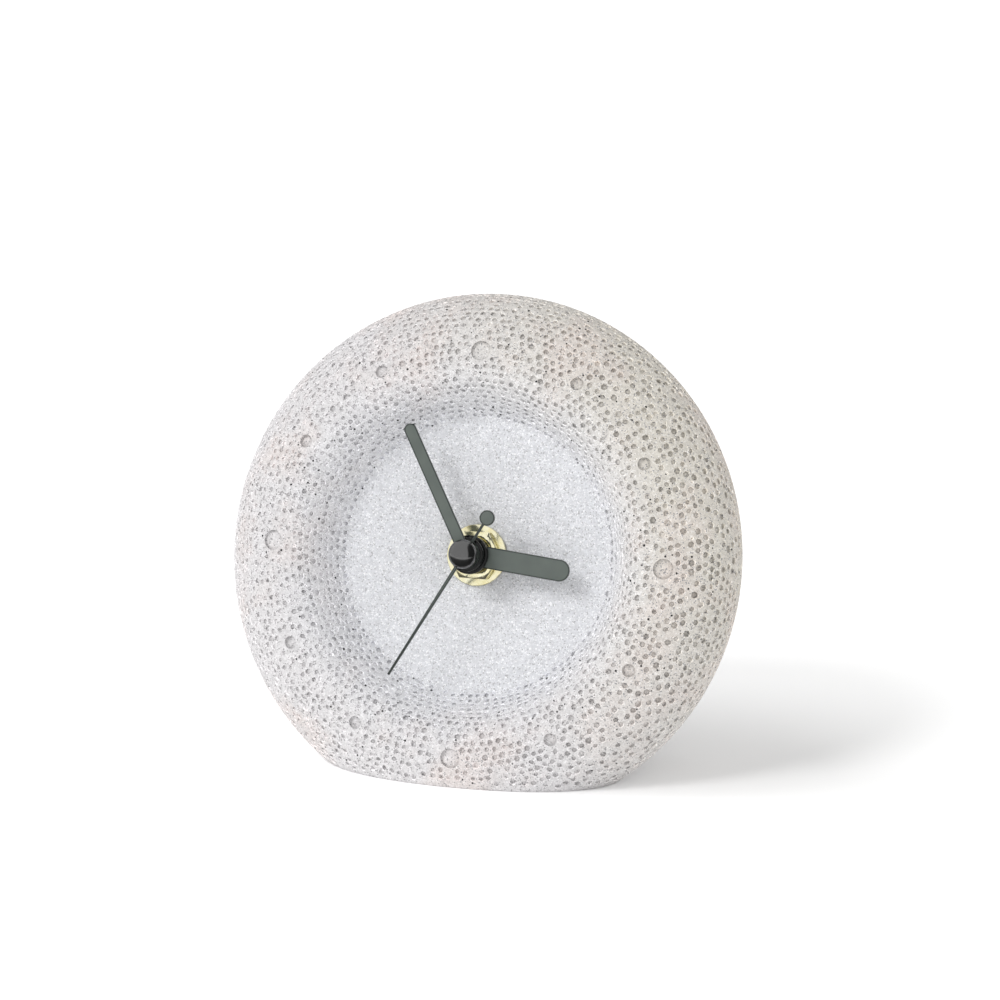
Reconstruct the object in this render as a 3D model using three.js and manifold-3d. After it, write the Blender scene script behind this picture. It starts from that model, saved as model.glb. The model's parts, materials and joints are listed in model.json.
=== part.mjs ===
// Desk clock: a cast concrete ring that leans back on a flat foot. A quartz movement is clamped
// in a pocket behind the dial, and three hands turn in front of it.
// Millimetres, +Z up, the dial faces -Y. The origin is on the desk, under the middle of the box.
// Pieces are drawn in the dial's own frame: x right, y up the dial, z out of the dial.

import * as THREE from 'three';
import { mergeVertices } from 'three/addons/utils/BufferGeometryUtils.js';
import Module from 'manifold-3d';

const wasm = await Module();
wasm.setup();

const radians = THREE.MathUtils.degToRad;

// Stance
const LEAN = radians(15);
const DIAL_HEIGHT = 48.9;

// Cast body, in depths and heights from the dial plane
const BODY_RADIUS = 60;
const WIDEST_DEPTH = 5.9;
const CREST_RADIUS = 42;
const CREST_HEIGHT = 10.2;
const CREST_INNER_WIDTH = 8;
const DIAL_RADIUS = 30;
const DIAL_WEB = 5;
const BACK_DEPTH = 32;
const BACK_RADIUS = 48;
const BACK_ROUNDNESS = 1.4;
const POCKET_GAP = 0.8;
const POCKET_CORNER = 4;

// Hour craters
const CRATER_RING = 46;
const QUARTER_CRATER_RADIUS = 2.25;
const HOUR_CRATER_RADIUS = 1.4;
const CRATER_DEPTH = 0.9;
const HOUR_CRATER_FLOOR = 0.84;
const HOURS = 12;
const HOURS_PER_QUARTER = 3;

// Clearances: parts that touch, and parts that run past each other
const FIT_GAP = 0.25;
const RUN_GAP = 0.4;

// Fixing through the dial
const GASKET_RADIUS = 14;
const GASKET_THICKNESS = 0.9;
const BUSH_RADIUS = 3.9;
const BUSH_FLANGE_RADIUS = 5.4;
const BUSH_FLANGE_THICKNESS = 0.6;
const THREAD_SHOWING = 1.2;
const WASHER_RADIUS = 7;
const WASHER_THICKNESS = 0.5;
const NUT_ACROSS_FLATS = 10.6;
const NUT_HEIGHT = 2.2;
const NUT_FLATS = 6;

// Shafts
const SECONDS_ARBOR_RADIUS = 0.5;
const MINUTE_TUBE_RADIUS = 1.5;
const HOUR_TUBE_RADIUS = 2.4;
const WHEEL_ARBOR_RADIUS = 0.5;
const SETTING_ARBOR_RADIUS = 1;
const BEARING_DEPTH = 0.8;

// Hands, with angles clockwise from twelve
const HAND_THICKNESS = 0.4;
const HOUR_ANGLE = radians(95.6);
const HOUR_HAND_LENGTH = 23.5;
const HOUR_HAND_WIDTH = 4.9;
const HOUR_BOSS_RADIUS = 4.4;
const HOUR_BOSS_HEIGHT = 1.2;
const HOUR_SLEEVE_WALL = 0.45;
const MINUTE_ANGLE = radians(330.8);
const MINUTE_HAND_LENGTH = 32.5;
const MINUTE_HAND_WIDTH = 2.8;
const MINUTE_BOSS_RADIUS = 3.9;
const MINUTE_BOSS_HEIGHT = 1.5;
const MINUTE_SLEEVE_WALL = 0.45;
const EYE_WALL = 0.85;
const SECOND_ANGLE = radians(208.6);
const SECOND_HAND_LENGTH = 32.4;
const SECOND_ROOT_WIDTH = 0.8;
const SECOND_TIP_WIDTH = 0.5;
const COUNTERWEIGHT_RADIUS = 1.75;
const COUNTERWEIGHT_REACH = 9.7;
const CAP_RADIUS = 3.3;
const CAP_SKIRT = 0.9;
const CAP_DOME = 1.9;

// Tooth counts of the train and of the motion work
const ROTOR_LEAVES = 8;
const INTERMEDIATE_TEETH = 40;
const INTERMEDIATE_LEAVES = 8;
const SECONDS_TEETH = 48;
const SECONDS_LEAVES = 8;
const THIRD_TEETH = 60;
const THIRD_LEAVES = 8;
const CENTRE_TEETH = 64;
const CANNON_LEAVES = 12;
const MOTION_TEETH = 36;
const MOTION_LEAVES = 8;
const HOUR_TEETH = 32;
const SETTING_LEAVES = 12;

// Modules, and the directions from each arbor to the next
const ROTOR_MODULE = 0.25;
const SECONDS_MODULE = 0.3;
const THIRD_MODULE = 0.3;
const CANNON_MODULE = 0.35;
const THIRD_ANGLE = radians(150);
const INTERMEDIATE_ANGLE = radians(40);
const ROTOR_ANGLE = radians(20);
const MOTION_ANGLE = radians(200);
const SETTING_ANGLE = radians(200);

// Movement
const SHELL_WALL = 1.4;
const SHELL_CORNER = 3;
const COVER_THICKNESS = 1.5;
const END_SPACE = 2;
const WHEEL_THICKNESS = 0.8;
const PLATE_THICKNESS = 1;
const PILLAR_RADIUS = 1.5;
const PILLAR_INSET = 3;
const POST_RADIUS = 0.6;
const SPRING_THICKNESS = 0.3;
const SPRING_RADIUS = 4;
const SPRING_WAIST_RADIUS = 2.9;
const SPRING_ARMS = 3;
const MAGNET_RADIUS = 1.9;
const MAGNET_LENGTH = 2;
const AIR_GAP = 0.5;
const STATOR_THICKNESS = 1;
const STATOR_POLE = 0.8;
const LIMB_WIDTH = 3;
const SEAT_RADIUS = 1;
const COIL_LENGTH = 18;
const CORE_WIDTH = 2.6;
const CORE_THICKNESS = 0.8;
const BOBBIN_WALL = 0.5;
const BOBBIN_FLANGE = 0.8;
const WINDING_DEPTH = 0.9;
const BOARD_WIDTH = 11;
const BOARD_THICKNESS = 1;
const CHIP_RADIUS = 3;
const CHIP_HEIGHT = 1.2;
const CRYSTAL_RADIUS = 1;
const CRYSTAL_LENGTH = 6.2;
const KNOB_RADIUS = 5;
const KNOB_HEIGHT = 3;
const KNOB_GROOVE = 0.35;
const KNOB_GROOVES = 20;
const KNOB_FACE = 0.65;

// Cell and contacts
const CELL_RADIUS = 7.25;
const CELL_LENGTH = 49.5;
const CELL_NUB_RADIUS = 2.75;
const CELL_NUB_LENGTH = 1;
const CONTACT_THICKNESS = 0.5;
const CONTACT_WIDTH = 9;
const STRAP_WIDTH = 3;
const SPRING_BUMP = 0.6;
const BUMP_TIP_RADIUS = 2.2;
const BUMP_ROOT_RADIUS = 3.6;

// Facets
const BODY_SIDES = 60;
const ROUND_SIDES = 20;
const ARBOR_SIDES = 10;
const ARC_STEPS = 6;
const CRATER_SIDES = 16;
const BACK_SPACING = 1.2;
const OVERSHOOT = 1;
const MERGE_DISTANCE = 1e-4;

// Solids and cuts

function solidOf(geometry) {
  const bare = geometry.clone();
  bare.deleteAttribute('normal');
  bare.deleteAttribute('uv');
  const merged = mergeVertices(bare, MERGE_DISTANCE);
  const corners = merged.index.array;
  const kept = [];
  for (let i = 0; i < corners.length; i += 3) {
    const [a, b, c] = corners.slice(i, i + 3);
    if (a !== b && b !== c && c !== a) kept.push(a, b, c);
  }
  return new wasm.Manifold(new wasm.Mesh({
    numProp: 3,
    vertProperties: merged.attributes.position.array,
    triVerts: new Uint32Array(kept),
  }));
}

function geometryOf(solid) {
  const mesh = solid.getMesh();
  const geometry = new THREE.BufferGeometry();
  geometry.setAttribute('position', new THREE.BufferAttribute(mesh.vertProperties, 3));
  geometry.setIndex(new THREE.BufferAttribute(mesh.triVerts, 1));
  geometry.computeVertexNormals();
  return geometry;
}

function fuse(first, ...others) {
  return geometryOf(others.reduce((solid, other) => solid.add(solidOf(other)), solidOf(first)));
}

function carve(first, ...tools) {
  return geometryOf(tools.reduce((solid, tool) => solid.subtract(solidOf(tool)), solidOf(first)));
}

// Outlines and basic shapes

function polar(from, distance, angle) {
  return new THREE.Vector2(
    from.x + distance * Math.cos(angle),
    from.y + distance * Math.sin(angle),
  );
}

function circle(radius, sides, centre = new THREE.Vector2()) {
  const corners = [];
  for (let i = 0; i < sides; i++) corners.push(polar(centre, radius, (2 * Math.PI * i) / sides));
  return corners;
}

function shapeOf(outline, ...holes) {
  const shape = new THREE.Shape(outline);
  for (const hole of holes) shape.holes.push(new THREE.Path(hole));
  return shape;
}

function plate(shape, back, front) {
  const depth = front - back;
  const geometry = new THREE.ExtrudeGeometry(shape, {
    depth,
    bevelEnabled: false,
    curveSegments: ARC_STEPS,
  });
  return geometry.translate(0, 0, back);
}

function ring(outer, inner, back, front, sides = ROUND_SIDES) {
  return plate(shapeOf(circle(outer, sides), circle(inner, sides)), back, front);
}

function rod(radius, back, front, centre = new THREE.Vector2(), sides = ARBOR_SIDES) {
  return plate(shapeOf(circle(radius, sides, centre)), back, front);
}

function turned(profile, sides = ROUND_SIDES) {
  const points = profile.map(([radius, height]) => new THREE.Vector2(radius, height));
  return new THREE.LatheGeometry(points, sides).rotateX(Math.PI / 2);
}

function block(x0, x1, y0, y1, z0, z1) {
  const geometry = new THREE.BoxGeometry(x1 - x0, y1 - y0, z1 - z0);
  return geometry.translate((x0 + x1) / 2, (y0 + y1) / 2, (z0 + z1) / 2);
}

function roundedBox(x0, x1, y0, y1, corner) {
  const shape = new THREE.Shape();
  shape.absarc(x1 - corner, y0 + corner, corner, -Math.PI / 2, 0);
  shape.absarc(x1 - corner, y1 - corner, corner, 0, Math.PI / 2);
  shape.absarc(x0 + corner, y1 - corner, corner, Math.PI / 2, Math.PI);
  shape.absarc(x0 + corner, y0 + corner, corner, Math.PI, 1.5 * Math.PI);
  return shape;
}

// Gears. A tooth is a trapezoid with ample backlash, and phase is the direction of one tooth.

const ADDENDUM = 0.8;
const DEDENDUM = 1.15;
const TOOTH_ROOT = 0.25;
const TOOTH_TIP = 0.09;

const pitchRadius = (module, teeth) => (module * teeth) / 2;
const tipRadius = (module, teeth) => pitchRadius(module, teeth) + ADDENDUM * module;

function gearOutline(module, teeth, phase, centre) {
  const pitch = (2 * Math.PI) / teeth;
  const root = pitchRadius(module, teeth) - DEDENDUM * module;
  const tip = tipRadius(module, teeth);
  const corners = [];
  for (let i = 0; i < teeth; i++) {
    const middle = phase + i * pitch;
    corners.push(polar(centre, root, middle - TOOTH_ROOT * pitch));
    corners.push(polar(centre, tip, middle - TOOTH_TIP * pitch));
    corners.push(polar(centre, tip, middle + TOOTH_TIP * pitch));
    corners.push(polar(centre, root, middle + TOOTH_ROOT * pitch));
  }
  return corners;
}

// The phase that puts a gap of the second gear where the first gear has a tooth
function meshedPhase(direction, teeth, phase, meshedTeeth) {
  const offset = ((phase - direction) * teeth) / meshedTeeth;
  return direction + Math.PI + Math.PI / meshedTeeth - offset;
}

function gear(level, module, teeth, phase, centre, bore) {
  const holes = bore ? [circle(bore, ROUND_SIDES, centre)] : [];
  const shape = shapeOf(gearOutline(module, teeth, phase, centre), ...holes);
  return plate(shape, level.back, level.front);
}

// Layout along the axis: the fixing and the hands in front of the dial

const upFrom = (z, gap, thickness) => ({ back: z + gap, front: z + gap + thickness });
const downFrom = (z, gap, thickness) => ({ front: z - gap, back: z - gap - thickness });

const washerLevel = upFrom(0, FIT_GAP, WASHER_THICKNESS);
const nutLevel = upFrom(washerLevel.front, FIT_GAP, NUT_HEIGHT);
const bushEnd = nutLevel.front + THREAD_SHOWING;
const hourHandLevel = upFrom(bushEnd, 2 * RUN_GAP, HAND_THICKNESS);
const hourBossLevel = upFrom(hourHandLevel.front, FIT_GAP, HOUR_BOSS_HEIGHT);
const minuteBossLevel = upFrom(hourBossLevel.front, RUN_GAP, MINUTE_BOSS_HEIGHT);
const minuteHandLevel = upFrom(minuteBossLevel.front, FIT_GAP, HAND_THICKNESS);
const minuteTubeEnd = minuteHandLevel.front + FIT_GAP;
const secondHandLevel = upFrom(minuteTubeEnd, FIT_GAP, HAND_THICKNESS);
const capLevel = upFrom(secondHandLevel.front, FIT_GAP, CAP_SKIRT);
const secondsArborEnd = capLevel.front;

// Layout along the axis: the movement behind the dial

const gasketLevel = downFrom(-DIAL_WEB, FIT_GAP, GASKET_THICKNESS);
const shellFront = gasketLevel.back - FIT_GAP;
const floorInside = shellFront - SHELL_WALL;
const hourLevel = downFrom(floorInside, RUN_GAP, WHEEL_THICKNESS);
const motionLevel = downFrom(hourLevel.back, RUN_GAP, WHEEL_THICKNESS);
const springLevel = downFrom(motionLevel.back, FIT_GAP, SPRING_THICKNESS);
const centreLevel = downFrom(springLevel.back, FIT_GAP, WHEEL_THICKNESS);
const plateLevel = downFrom(centreLevel.back, RUN_GAP, PLATE_THICKNESS);
const thirdLevel = downFrom(plateLevel.back, RUN_GAP, WHEEL_THICKNESS);
const secondsLevel = downFrom(thirdLevel.back, RUN_GAP, WHEEL_THICKNESS);
const intermediateLevel = downFrom(secondsLevel.back, RUN_GAP, WHEEL_THICKNESS);
const magnetLevel = downFrom(intermediateLevel.back, RUN_GAP, MAGNET_LENGTH);
const coverLevel = downFrom(magnetLevel.back, END_SPACE, COVER_THICKNESS);
const shellBack = coverLevel.front + FIT_GAP;
const knobLevel = downFrom(coverLevel.back, RUN_GAP, KNOB_HEIGHT);
const frontBearing = floorInside + BEARING_DEPTH;
const rearBearing = coverLevel.front - BEARING_DEPTH;

// Layout across the movement: arbors

const centre = new THREE.Vector2();
const thirdDistance = pitchRadius(THIRD_MODULE, SECONDS_LEAVES + THIRD_TEETH);
const centreModule = (2 * thirdDistance) / (THIRD_LEAVES + CENTRE_TEETH);
const motionDistance = pitchRadius(CANNON_MODULE, CANNON_LEAVES + MOTION_TEETH);
const hourModule = (2 * motionDistance) / (MOTION_LEAVES + HOUR_TEETH);
const settingDistance = pitchRadius(CANNON_MODULE, SETTING_LEAVES + MOTION_TEETH);
const intermediateDistance = pitchRadius(SECONDS_MODULE, SECONDS_TEETH + INTERMEDIATE_LEAVES);
const rotorDistance = pitchRadius(ROTOR_MODULE, ROTOR_LEAVES + INTERMEDIATE_TEETH);

const third = polar(centre, thirdDistance, THIRD_ANGLE);
const intermediate = polar(centre, intermediateDistance, INTERMEDIATE_ANGLE);
const rotor = polar(intermediate, rotorDistance, ROTOR_ANGLE);
const motion = polar(centre, motionDistance, MOTION_ANGLE);
const setting = polar(motion, settingDistance, SETTING_ANGLE);

// Layout across the movement: coil, board, chamber and trough

const statorLevel = {
  front: (magnetLevel.front + magnetLevel.back + STATOR_THICKNESS) / 2,
  back: (magnetLevel.front + magnetLevel.back - STATOR_THICKNESS) / 2,
};
const coreLevel = {
  back: statorLevel.front + FIT_GAP,
  front: statorLevel.front + FIT_GAP + CORE_THICKNESS,
};
const coilHeight = (coreLevel.front + coreLevel.back) / 2;
const bobbinBore = Math.hypot(CORE_WIDTH, CORE_THICKNESS) / 2 + FIT_GAP;
const bobbinTube = bobbinBore + BOBBIN_WALL;
const windingInner = bobbinTube + FIT_GAP;
const windingOuter = windingInner + WINDING_DEPTH;
const bobbinFlange = windingOuter + BOBBIN_WALL;
const statorHole = MAGNET_RADIUS + AIR_GAP;
const poleHalf = statorHole + STATOR_POLE;
const coilX = rotor.x + poleHalf + RUN_GAP + bobbinFlange;

const chamberBottom = -(tipRadius(centreModule, CENTRE_TEETH) + RUN_GAP);
const boardBottom = third.y + tipRadius(THIRD_MODULE, THIRD_TEETH) + RUN_GAP;
const boardTop = boardBottom + BOARD_WIDTH;
const chamberTop = boardTop + FIT_GAP;
const partitionBottom = chamberBottom - SHELL_WALL;
const cellY = partitionBottom - FIT_GAP - CELL_RADIUS;
const troughBottom = cellY - CELL_RADIUS - FIT_GAP;
const shellTop = chamberTop + SHELL_WALL;
const shellBottom = troughBottom - SHELL_WALL;

const strapRoom = CONTACT_THICKNESS + 2 * FIT_GAP;
const cellRoom = CELL_LENGTH + CELL_NUB_LENGTH + 2 * strapRoom + SPRING_BUMP;
const coilRoom = 2 * (coilX + bobbinFlange + strapRoom + FIT_GAP);
const chamberHalf = Math.max(cellRoom, coilRoom) / 2;
const shellHalf = chamberHalf + SHELL_WALL;
const innerHalf = chamberHalf - strapRoom;
const cellZ = floorInside - FIT_GAP - CELL_RADIUS;
const cellEnd = innerHalf;

const boardLevel = downFrom(plateLevel.back, FIT_GAP, BOARD_THICKNESS);
const coilTop = boardBottom - RUN_GAP;
const coilBottom = coilTop - COIL_LENGTH;

// Rest phases of the gears, each meshed with the one before

const cannonPhase = MOTION_ANGLE;
const motionPhase = meshedPhase(MOTION_ANGLE, CANNON_LEAVES, cannonPhase, MOTION_TEETH);
const settingPhase = meshedPhase(SETTING_ANGLE, MOTION_TEETH, motionPhase, SETTING_LEAVES);
const hourPhase = MOTION_ANGLE;
const motionLeafPhase = meshedPhase(MOTION_ANGLE, HOUR_TEETH, hourPhase, MOTION_LEAVES);
const secondsLeafPhase = THIRD_ANGLE;
const thirdPhase = meshedPhase(THIRD_ANGLE, SECONDS_LEAVES, secondsLeafPhase, THIRD_TEETH);
const centrePhase = THIRD_ANGLE;
const thirdLeafPhase = meshedPhase(THIRD_ANGLE, CENTRE_TEETH, centrePhase, THIRD_LEAVES);
const secondsPhase = INTERMEDIATE_ANGLE;
const intermediateLeafPhase = meshedPhase(
  INTERMEDIATE_ANGLE, SECONDS_TEETH, secondsPhase, INTERMEDIATE_LEAVES,
);
const intermediatePhase = ROTOR_ANGLE;
const rotorPhase = meshedPhase(ROTOR_ANGLE, INTERMEDIATE_TEETH, intermediatePhase, ROTOR_LEAVES);

// Finishes

function finish(color, roughness, metalness = 0) {
  return { color, roughness, metalness };
}

const CONCRETE = finish(0xcfcac6, 0.92);
const BRASS = finish(0xd8b45c, 0.22, 1);
const HAND_METAL = finish(0x5f6865, 0.42, 0.6);
const BLACK_GLOSS = finish(0x121413, 0.14);
const BLACK_PLASTIC = finish(0x1c1d1f, 0.55);
const WHITE_PLASTIC = finish(0xe6e4dc, 0.45);
const NATURAL_PLASTIC = finish(0xd9cfb6, 0.45);
const RUBBER = finish(0x191919, 0.85);
const STEEL = finish(0xb9bcc0, 0.3, 1);
const DARK_STEEL = finish(0x8d9094, 0.38, 1);
const COPPER = finish(0xb8703c, 0.35, 1);
const BOARD_GREEN = finish(0x2f6b46, 0.5);
const CELL_WRAP = finish(0x3f6f73, 0.35);

// Assembly

const clock = new THREE.Group();
const leaning = new THREE.Group();
leaning.rotation.x = Math.PI / 2 - LEAN;
leaning.position.z = DIAL_HEIGHT;
clock.add(leaning);

function add(name, geometry, look, parent = leaning) {
  const mesh = new THREE.Mesh(geometry, new THREE.MeshStandardMaterial(look));
  mesh.name = name;
  parent.add(mesh);
}

// A group turned clockwise on the dial, for a hand that is drawn pointing at twelve
function handGroup(angle) {
  const group = new THREE.Group();
  group.rotation.z = -angle;
  leaning.add(group);
  return group;
}

// Cast body

const crestRise = CREST_HEIGHT + WIDEST_DEPTH;
const crestReach = BODY_RADIUS - CREST_RADIUS;

function frontHeight(radius) {
  const share = (radius - CREST_RADIUS) / crestReach;
  return -WIDEST_DEPTH + crestRise * Math.sqrt(1 - share * share);
}

function caseProfile(bore) {
  const profile = [[bore, -BACK_DEPTH]];
  for (let i = 0; i <= ARC_STEPS; i++) {
    const depth = Math.cos((Math.PI / 2) * (i / ARC_STEPS)) ** BACK_SPACING;
    const bulge = (1 - depth ** BACK_ROUNDNESS) ** (1 / BACK_ROUNDNESS);
    profile.push([
      BACK_RADIUS + (BODY_RADIUS - BACK_RADIUS) * bulge,
      -WIDEST_DEPTH - (BACK_DEPTH - WIDEST_DEPTH) * depth,
    ]);
  }
  for (let i = 1; i <= ARC_STEPS; i++) {
    const angle = (Math.PI / 2) * (i / ARC_STEPS);
    profile.push([
      CREST_RADIUS + crestReach * Math.cos(angle),
      -WIDEST_DEPTH + crestRise * Math.sin(angle),
    ]);
  }
  const dishWidth = CREST_RADIUS - DIAL_RADIUS;
  const footWidth = dishWidth - CREST_INNER_WIDTH;
  const crestDrop = (CREST_HEIGHT * CREST_INNER_WIDTH) / dishWidth;
  const footRise = CREST_HEIGHT - crestDrop;
  for (let i = 1; i <= ARC_STEPS; i++) {
    const share = i / ARC_STEPS;
    profile.push([
      CREST_RADIUS - CREST_INNER_WIDTH * share,
      CREST_HEIGHT - crestDrop * share * share,
    ]);
  }
  const footSteps = ARC_STEPS / 2;
  for (let i = footSteps - 1; i >= 0; i--) {
    const share = i / footSteps;
    profile.push([DIAL_RADIUS + footWidth * share, footRise * share * share]);
  }
  profile.push([bore, 0], [bore, -BACK_DEPTH]);
  return profile;
}

// A short round cutter that stands on the body's face, square to it
function craterCutter(hour) {
  const quarter = hour % HOURS_PER_QUARTER === 0;
  const radius = quarter ? QUARTER_CRATER_RADIUS : HOUR_CRATER_RADIUS;
  const floor = quarter ? radius : HOUR_CRATER_FLOOR;
  const height = frontHeight(CRATER_RING);
  const slope = (height - frontHeight(CRATER_RING + radius)) / radius;
  const cutter = new THREE.CylinderGeometry(radius, floor, 2 * CRATER_DEPTH, CRATER_SIDES);
  cutter.rotateX(Math.PI / 2);
  cutter.rotateY(Math.atan(slope));
  cutter.translate(CRATER_RING, 0, height);
  return cutter.rotateZ(Math.PI / 2 - (2 * Math.PI * hour) / HOURS);
}

function concreteCase() {
  const reach = 4 * BODY_RADIUS;
  const desk = block(-reach, reach, -reach, reach, -reach, -DIAL_HEIGHT);
  desk.rotateX(LEAN - Math.PI / 2);
  const pocket = plate(
    roundedBox(
      -shellHalf - POCKET_GAP, shellHalf + POCKET_GAP,
      shellBottom - POCKET_GAP, shellTop + POCKET_GAP, POCKET_CORNER,
    ),
    -2 * BACK_DEPTH, -DIAL_WEB,
  );
  const craters = [];
  for (let hour = 1; hour <= HOURS; hour++) craters.push(craterCutter(hour));
  return carve(turned(caseProfile(BUSH_RADIUS + RUN_GAP), BODY_SIDES), desk, pocket, ...craters);
}

add('concrete_case', concreteCase(), CONCRETE);

// Fixing through the dial

const bushBore = HOUR_TUBE_RADIUS + RUN_GAP;
const bushFlangeFront = shellFront + FIT_GAP + BUSH_FLANGE_THICKNESS;

function threadedBush() {
  return fuse(
    ring(BUSH_RADIUS, bushBore, floorInside, bushEnd),
    ring(BUSH_FLANGE_RADIUS, bushBore, shellFront + FIT_GAP, bushFlangeFront),
  );
}

function hexNut() {
  const corner = NUT_ACROSS_FLATS / Math.sqrt(3);
  const bore = circle(BUSH_RADIUS + FIT_GAP, ROUND_SIDES);
  return plate(shapeOf(circle(corner, NUT_FLATS), bore), nutLevel.back, nutLevel.front);
}

const gasketBore = BUSH_FLANGE_RADIUS + FIT_GAP;
add('rubber_gasket', ring(GASKET_RADIUS, gasketBore, gasketLevel.back, gasketLevel.front), RUBBER);
add('threaded_bush', threadedBush(), BRASS);
const washerBore = BUSH_RADIUS + FIT_GAP;
add('brass_washer', ring(WASHER_RADIUS, washerBore, washerLevel.back, washerLevel.front), BRASS);
add('hex_nut', hexNut(), BRASS);

// Movement shell, plate and cover

const pillarHeight = plateLevel.front + FIT_GAP;
const plateBottom = chamberBottom + FIT_GAP;
const pillars = [
  new THREE.Vector2(-innerHalf + PILLAR_INSET, boardTop - PILLAR_INSET),
  new THREE.Vector2(innerHalf - PILLAR_INSET, boardTop - PILLAR_INSET),
  new THREE.Vector2(-innerHalf + PILLAR_INSET, third.y),
  new THREE.Vector2(innerHalf - PILLAR_INSET, plateBottom + PILLAR_INSET),
];

function movementShell() {
  const outside = roundedBox(-shellHalf, shellHalf, shellBottom, shellTop, SHELL_CORNER);
  const open = shellBack - OVERSHOOT;
  const chamber = block(
    -chamberHalf, chamberHalf, chamberBottom, chamberTop, open, floorInside,
  );
  const trough = block(
    -chamberHalf, chamberHalf, troughBottom, partitionBottom, open, floorInside,
  );
  const strapSlots = [-1, 1].map((side) => {
    const edges = [side * innerHalf, side * chamberHalf].sort((a, b) => a - b);
    return block(
      ...edges, partitionBottom - OVERSHOOT, chamberBottom + OVERSHOOT, open, floorInside,
    );
  });
  const inside = floorInside - OVERSHOOT;
  const bushHole = rod(
    BUSH_RADIUS + FIT_GAP, inside, shellFront + OVERSHOOT, centre, ROUND_SIDES,
  );
  const bearings = [
    rod(WHEEL_ARBOR_RADIUS + FIT_GAP, inside, frontBearing, third),
    rod(SETTING_ARBOR_RADIUS + FIT_GAP, inside, frontBearing, setting),
  ];
  const tray = carve(
    plate(outside, shellBack, shellFront), chamber, trough, ...strapSlots, bushHole, ...bearings,
  );
  const rooted = (shellFront + floorInside) / 2;
  const post = rod(POST_RADIUS, motionLevel.back, rooted, motion);
  return fuse(tray, post, ...pillars.map((spot) => rod(PILLAR_RADIUS, pillarHeight, rooted, spot)));
}

function middlePlate() {
  const holes = [
    circle(MINUTE_TUBE_RADIUS + FIT_GAP, ROUND_SIDES),
    circle(tipRadius(centreModule, THIRD_LEAVES) + RUN_GAP, ROUND_SIDES, third),
    circle(SETTING_ARBOR_RADIUS + RUN_GAP, ROUND_SIDES, setting),
    circle(WHEEL_ARBOR_RADIUS + FIT_GAP, ARBOR_SIDES, intermediate),
    circle(WHEEL_ARBOR_RADIUS + FIT_GAP, ARBOR_SIDES, rotor),
  ];
  const outline = [
    new THREE.Vector2(-innerHalf, plateBottom),
    new THREE.Vector2(innerHalf, plateBottom),
    new THREE.Vector2(innerHalf, boardTop),
    new THREE.Vector2(-innerHalf, boardTop),
  ];
  const sheet = plate(shapeOf(outline, ...holes), plateLevel.back, plateLevel.front);
  const rooted = (plateLevel.front + plateLevel.back) / 2;
  const seats = limbMiddles.map((y) => rod(
    SEAT_RADIUS, statorLevel.front + FIT_GAP, rooted, new THREE.Vector2(rotor.x, y),
  ));
  return fuse(sheet, ...seats);
}

function rearCover() {
  const sheet = plate(
    roundedBox(-shellHalf, shellHalf, partitionBottom, shellTop, SHELL_CORNER),
    coverLevel.back, coverLevel.front,
  );
  const inside = coverLevel.front + OVERSHOOT;
  const bearings = [centre, third, intermediate, rotor].map((spot) => rod(
    WHEEL_ARBOR_RADIUS + FIT_GAP, rearBearing, inside, spot,
  ));
  const settingHole = rod(
    SETTING_ARBOR_RADIUS + FIT_GAP, coverLevel.back - OVERSHOOT, inside, setting,
  );
  return carve(sheet, ...bearings, settingHole);
}

// Motor: stator, coil and rotor

const padTop = { low: coilTop + FIT_GAP, high: coilTop + FIT_GAP + LIMB_WIDTH };
const padBottom = { low: coilBottom - FIT_GAP - LIMB_WIDTH, high: coilBottom - FIT_GAP };
const limbMiddles = [
  (padTop.low + rotor.y + poleHalf) / 2,
  (padBottom.high + rotor.y - poleHalf) / 2,
];

function stator() {
  const left = rotor.x - LIMB_WIDTH / 2;
  const right = rotor.x + LIMB_WIDTH / 2;
  const far = coilX + CORE_WIDTH / 2;
  const hole = rod(
    statorHole, statorLevel.back - OVERSHOOT, statorLevel.front + OVERSHOOT, rotor, ROUND_SIDES,
  );
  const pole = block(
    rotor.x - poleHalf, rotor.x + poleHalf, rotor.y - poleHalf, rotor.y + poleHalf,
    statorLevel.back, statorLevel.front,
  );
  const limb = block(left, right, padBottom.low, padTop.high, statorLevel.back, statorLevel.front);
  const pads = [padTop, padBottom].map((pad) => block(
    left, far, pad.low, pad.high, statorLevel.back, statorLevel.front,
  ));
  return carve(fuse(limb, pole, ...pads), hole);
}

function coilCore() {
  return block(
    coilX - CORE_WIDTH / 2, coilX + CORE_WIDTH / 2, padBottom.low, padTop.high,
    coreLevel.back, coreLevel.front,
  );
}

// A ring along the coil, from one height up the dial to another
function coilRing(profile) {
  return turned(profile).rotateX(-Math.PI / 2).translate(coilX, 0, coilHeight);
}

function coilBobbin() {
  const low = coilBottom + BOBBIN_FLANGE;
  const high = coilTop - BOBBIN_FLANGE;
  return coilRing([
    [bobbinBore, coilBottom],
    [bobbinFlange, coilBottom],
    [bobbinFlange, low],
    [bobbinTube, low],
    [bobbinTube, high],
    [bobbinFlange, high],
    [bobbinFlange, coilTop],
    [bobbinBore, coilTop],
    [bobbinBore, coilBottom],
  ]);
}

function coilWinding() {
  const low = coilBottom + BOBBIN_FLANGE + FIT_GAP;
  const high = coilTop - BOBBIN_FLANGE - FIT_GAP;
  return coilRing([
    [windingInner, low],
    [windingOuter, low],
    [windingOuter, high],
    [windingInner, high],
    [windingInner, low],
  ]);
}

const arborFront = plateLevel.front - FIT_GAP;
const arborBack = rearBearing + FIT_GAP;

function rotorPinion() {
  return fuse(
    gear(intermediateLevel, ROTOR_MODULE, ROTOR_LEAVES, rotorPhase, rotor),
    rod(WHEEL_ARBOR_RADIUS, arborBack, arborFront, rotor),
  );
}

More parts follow.
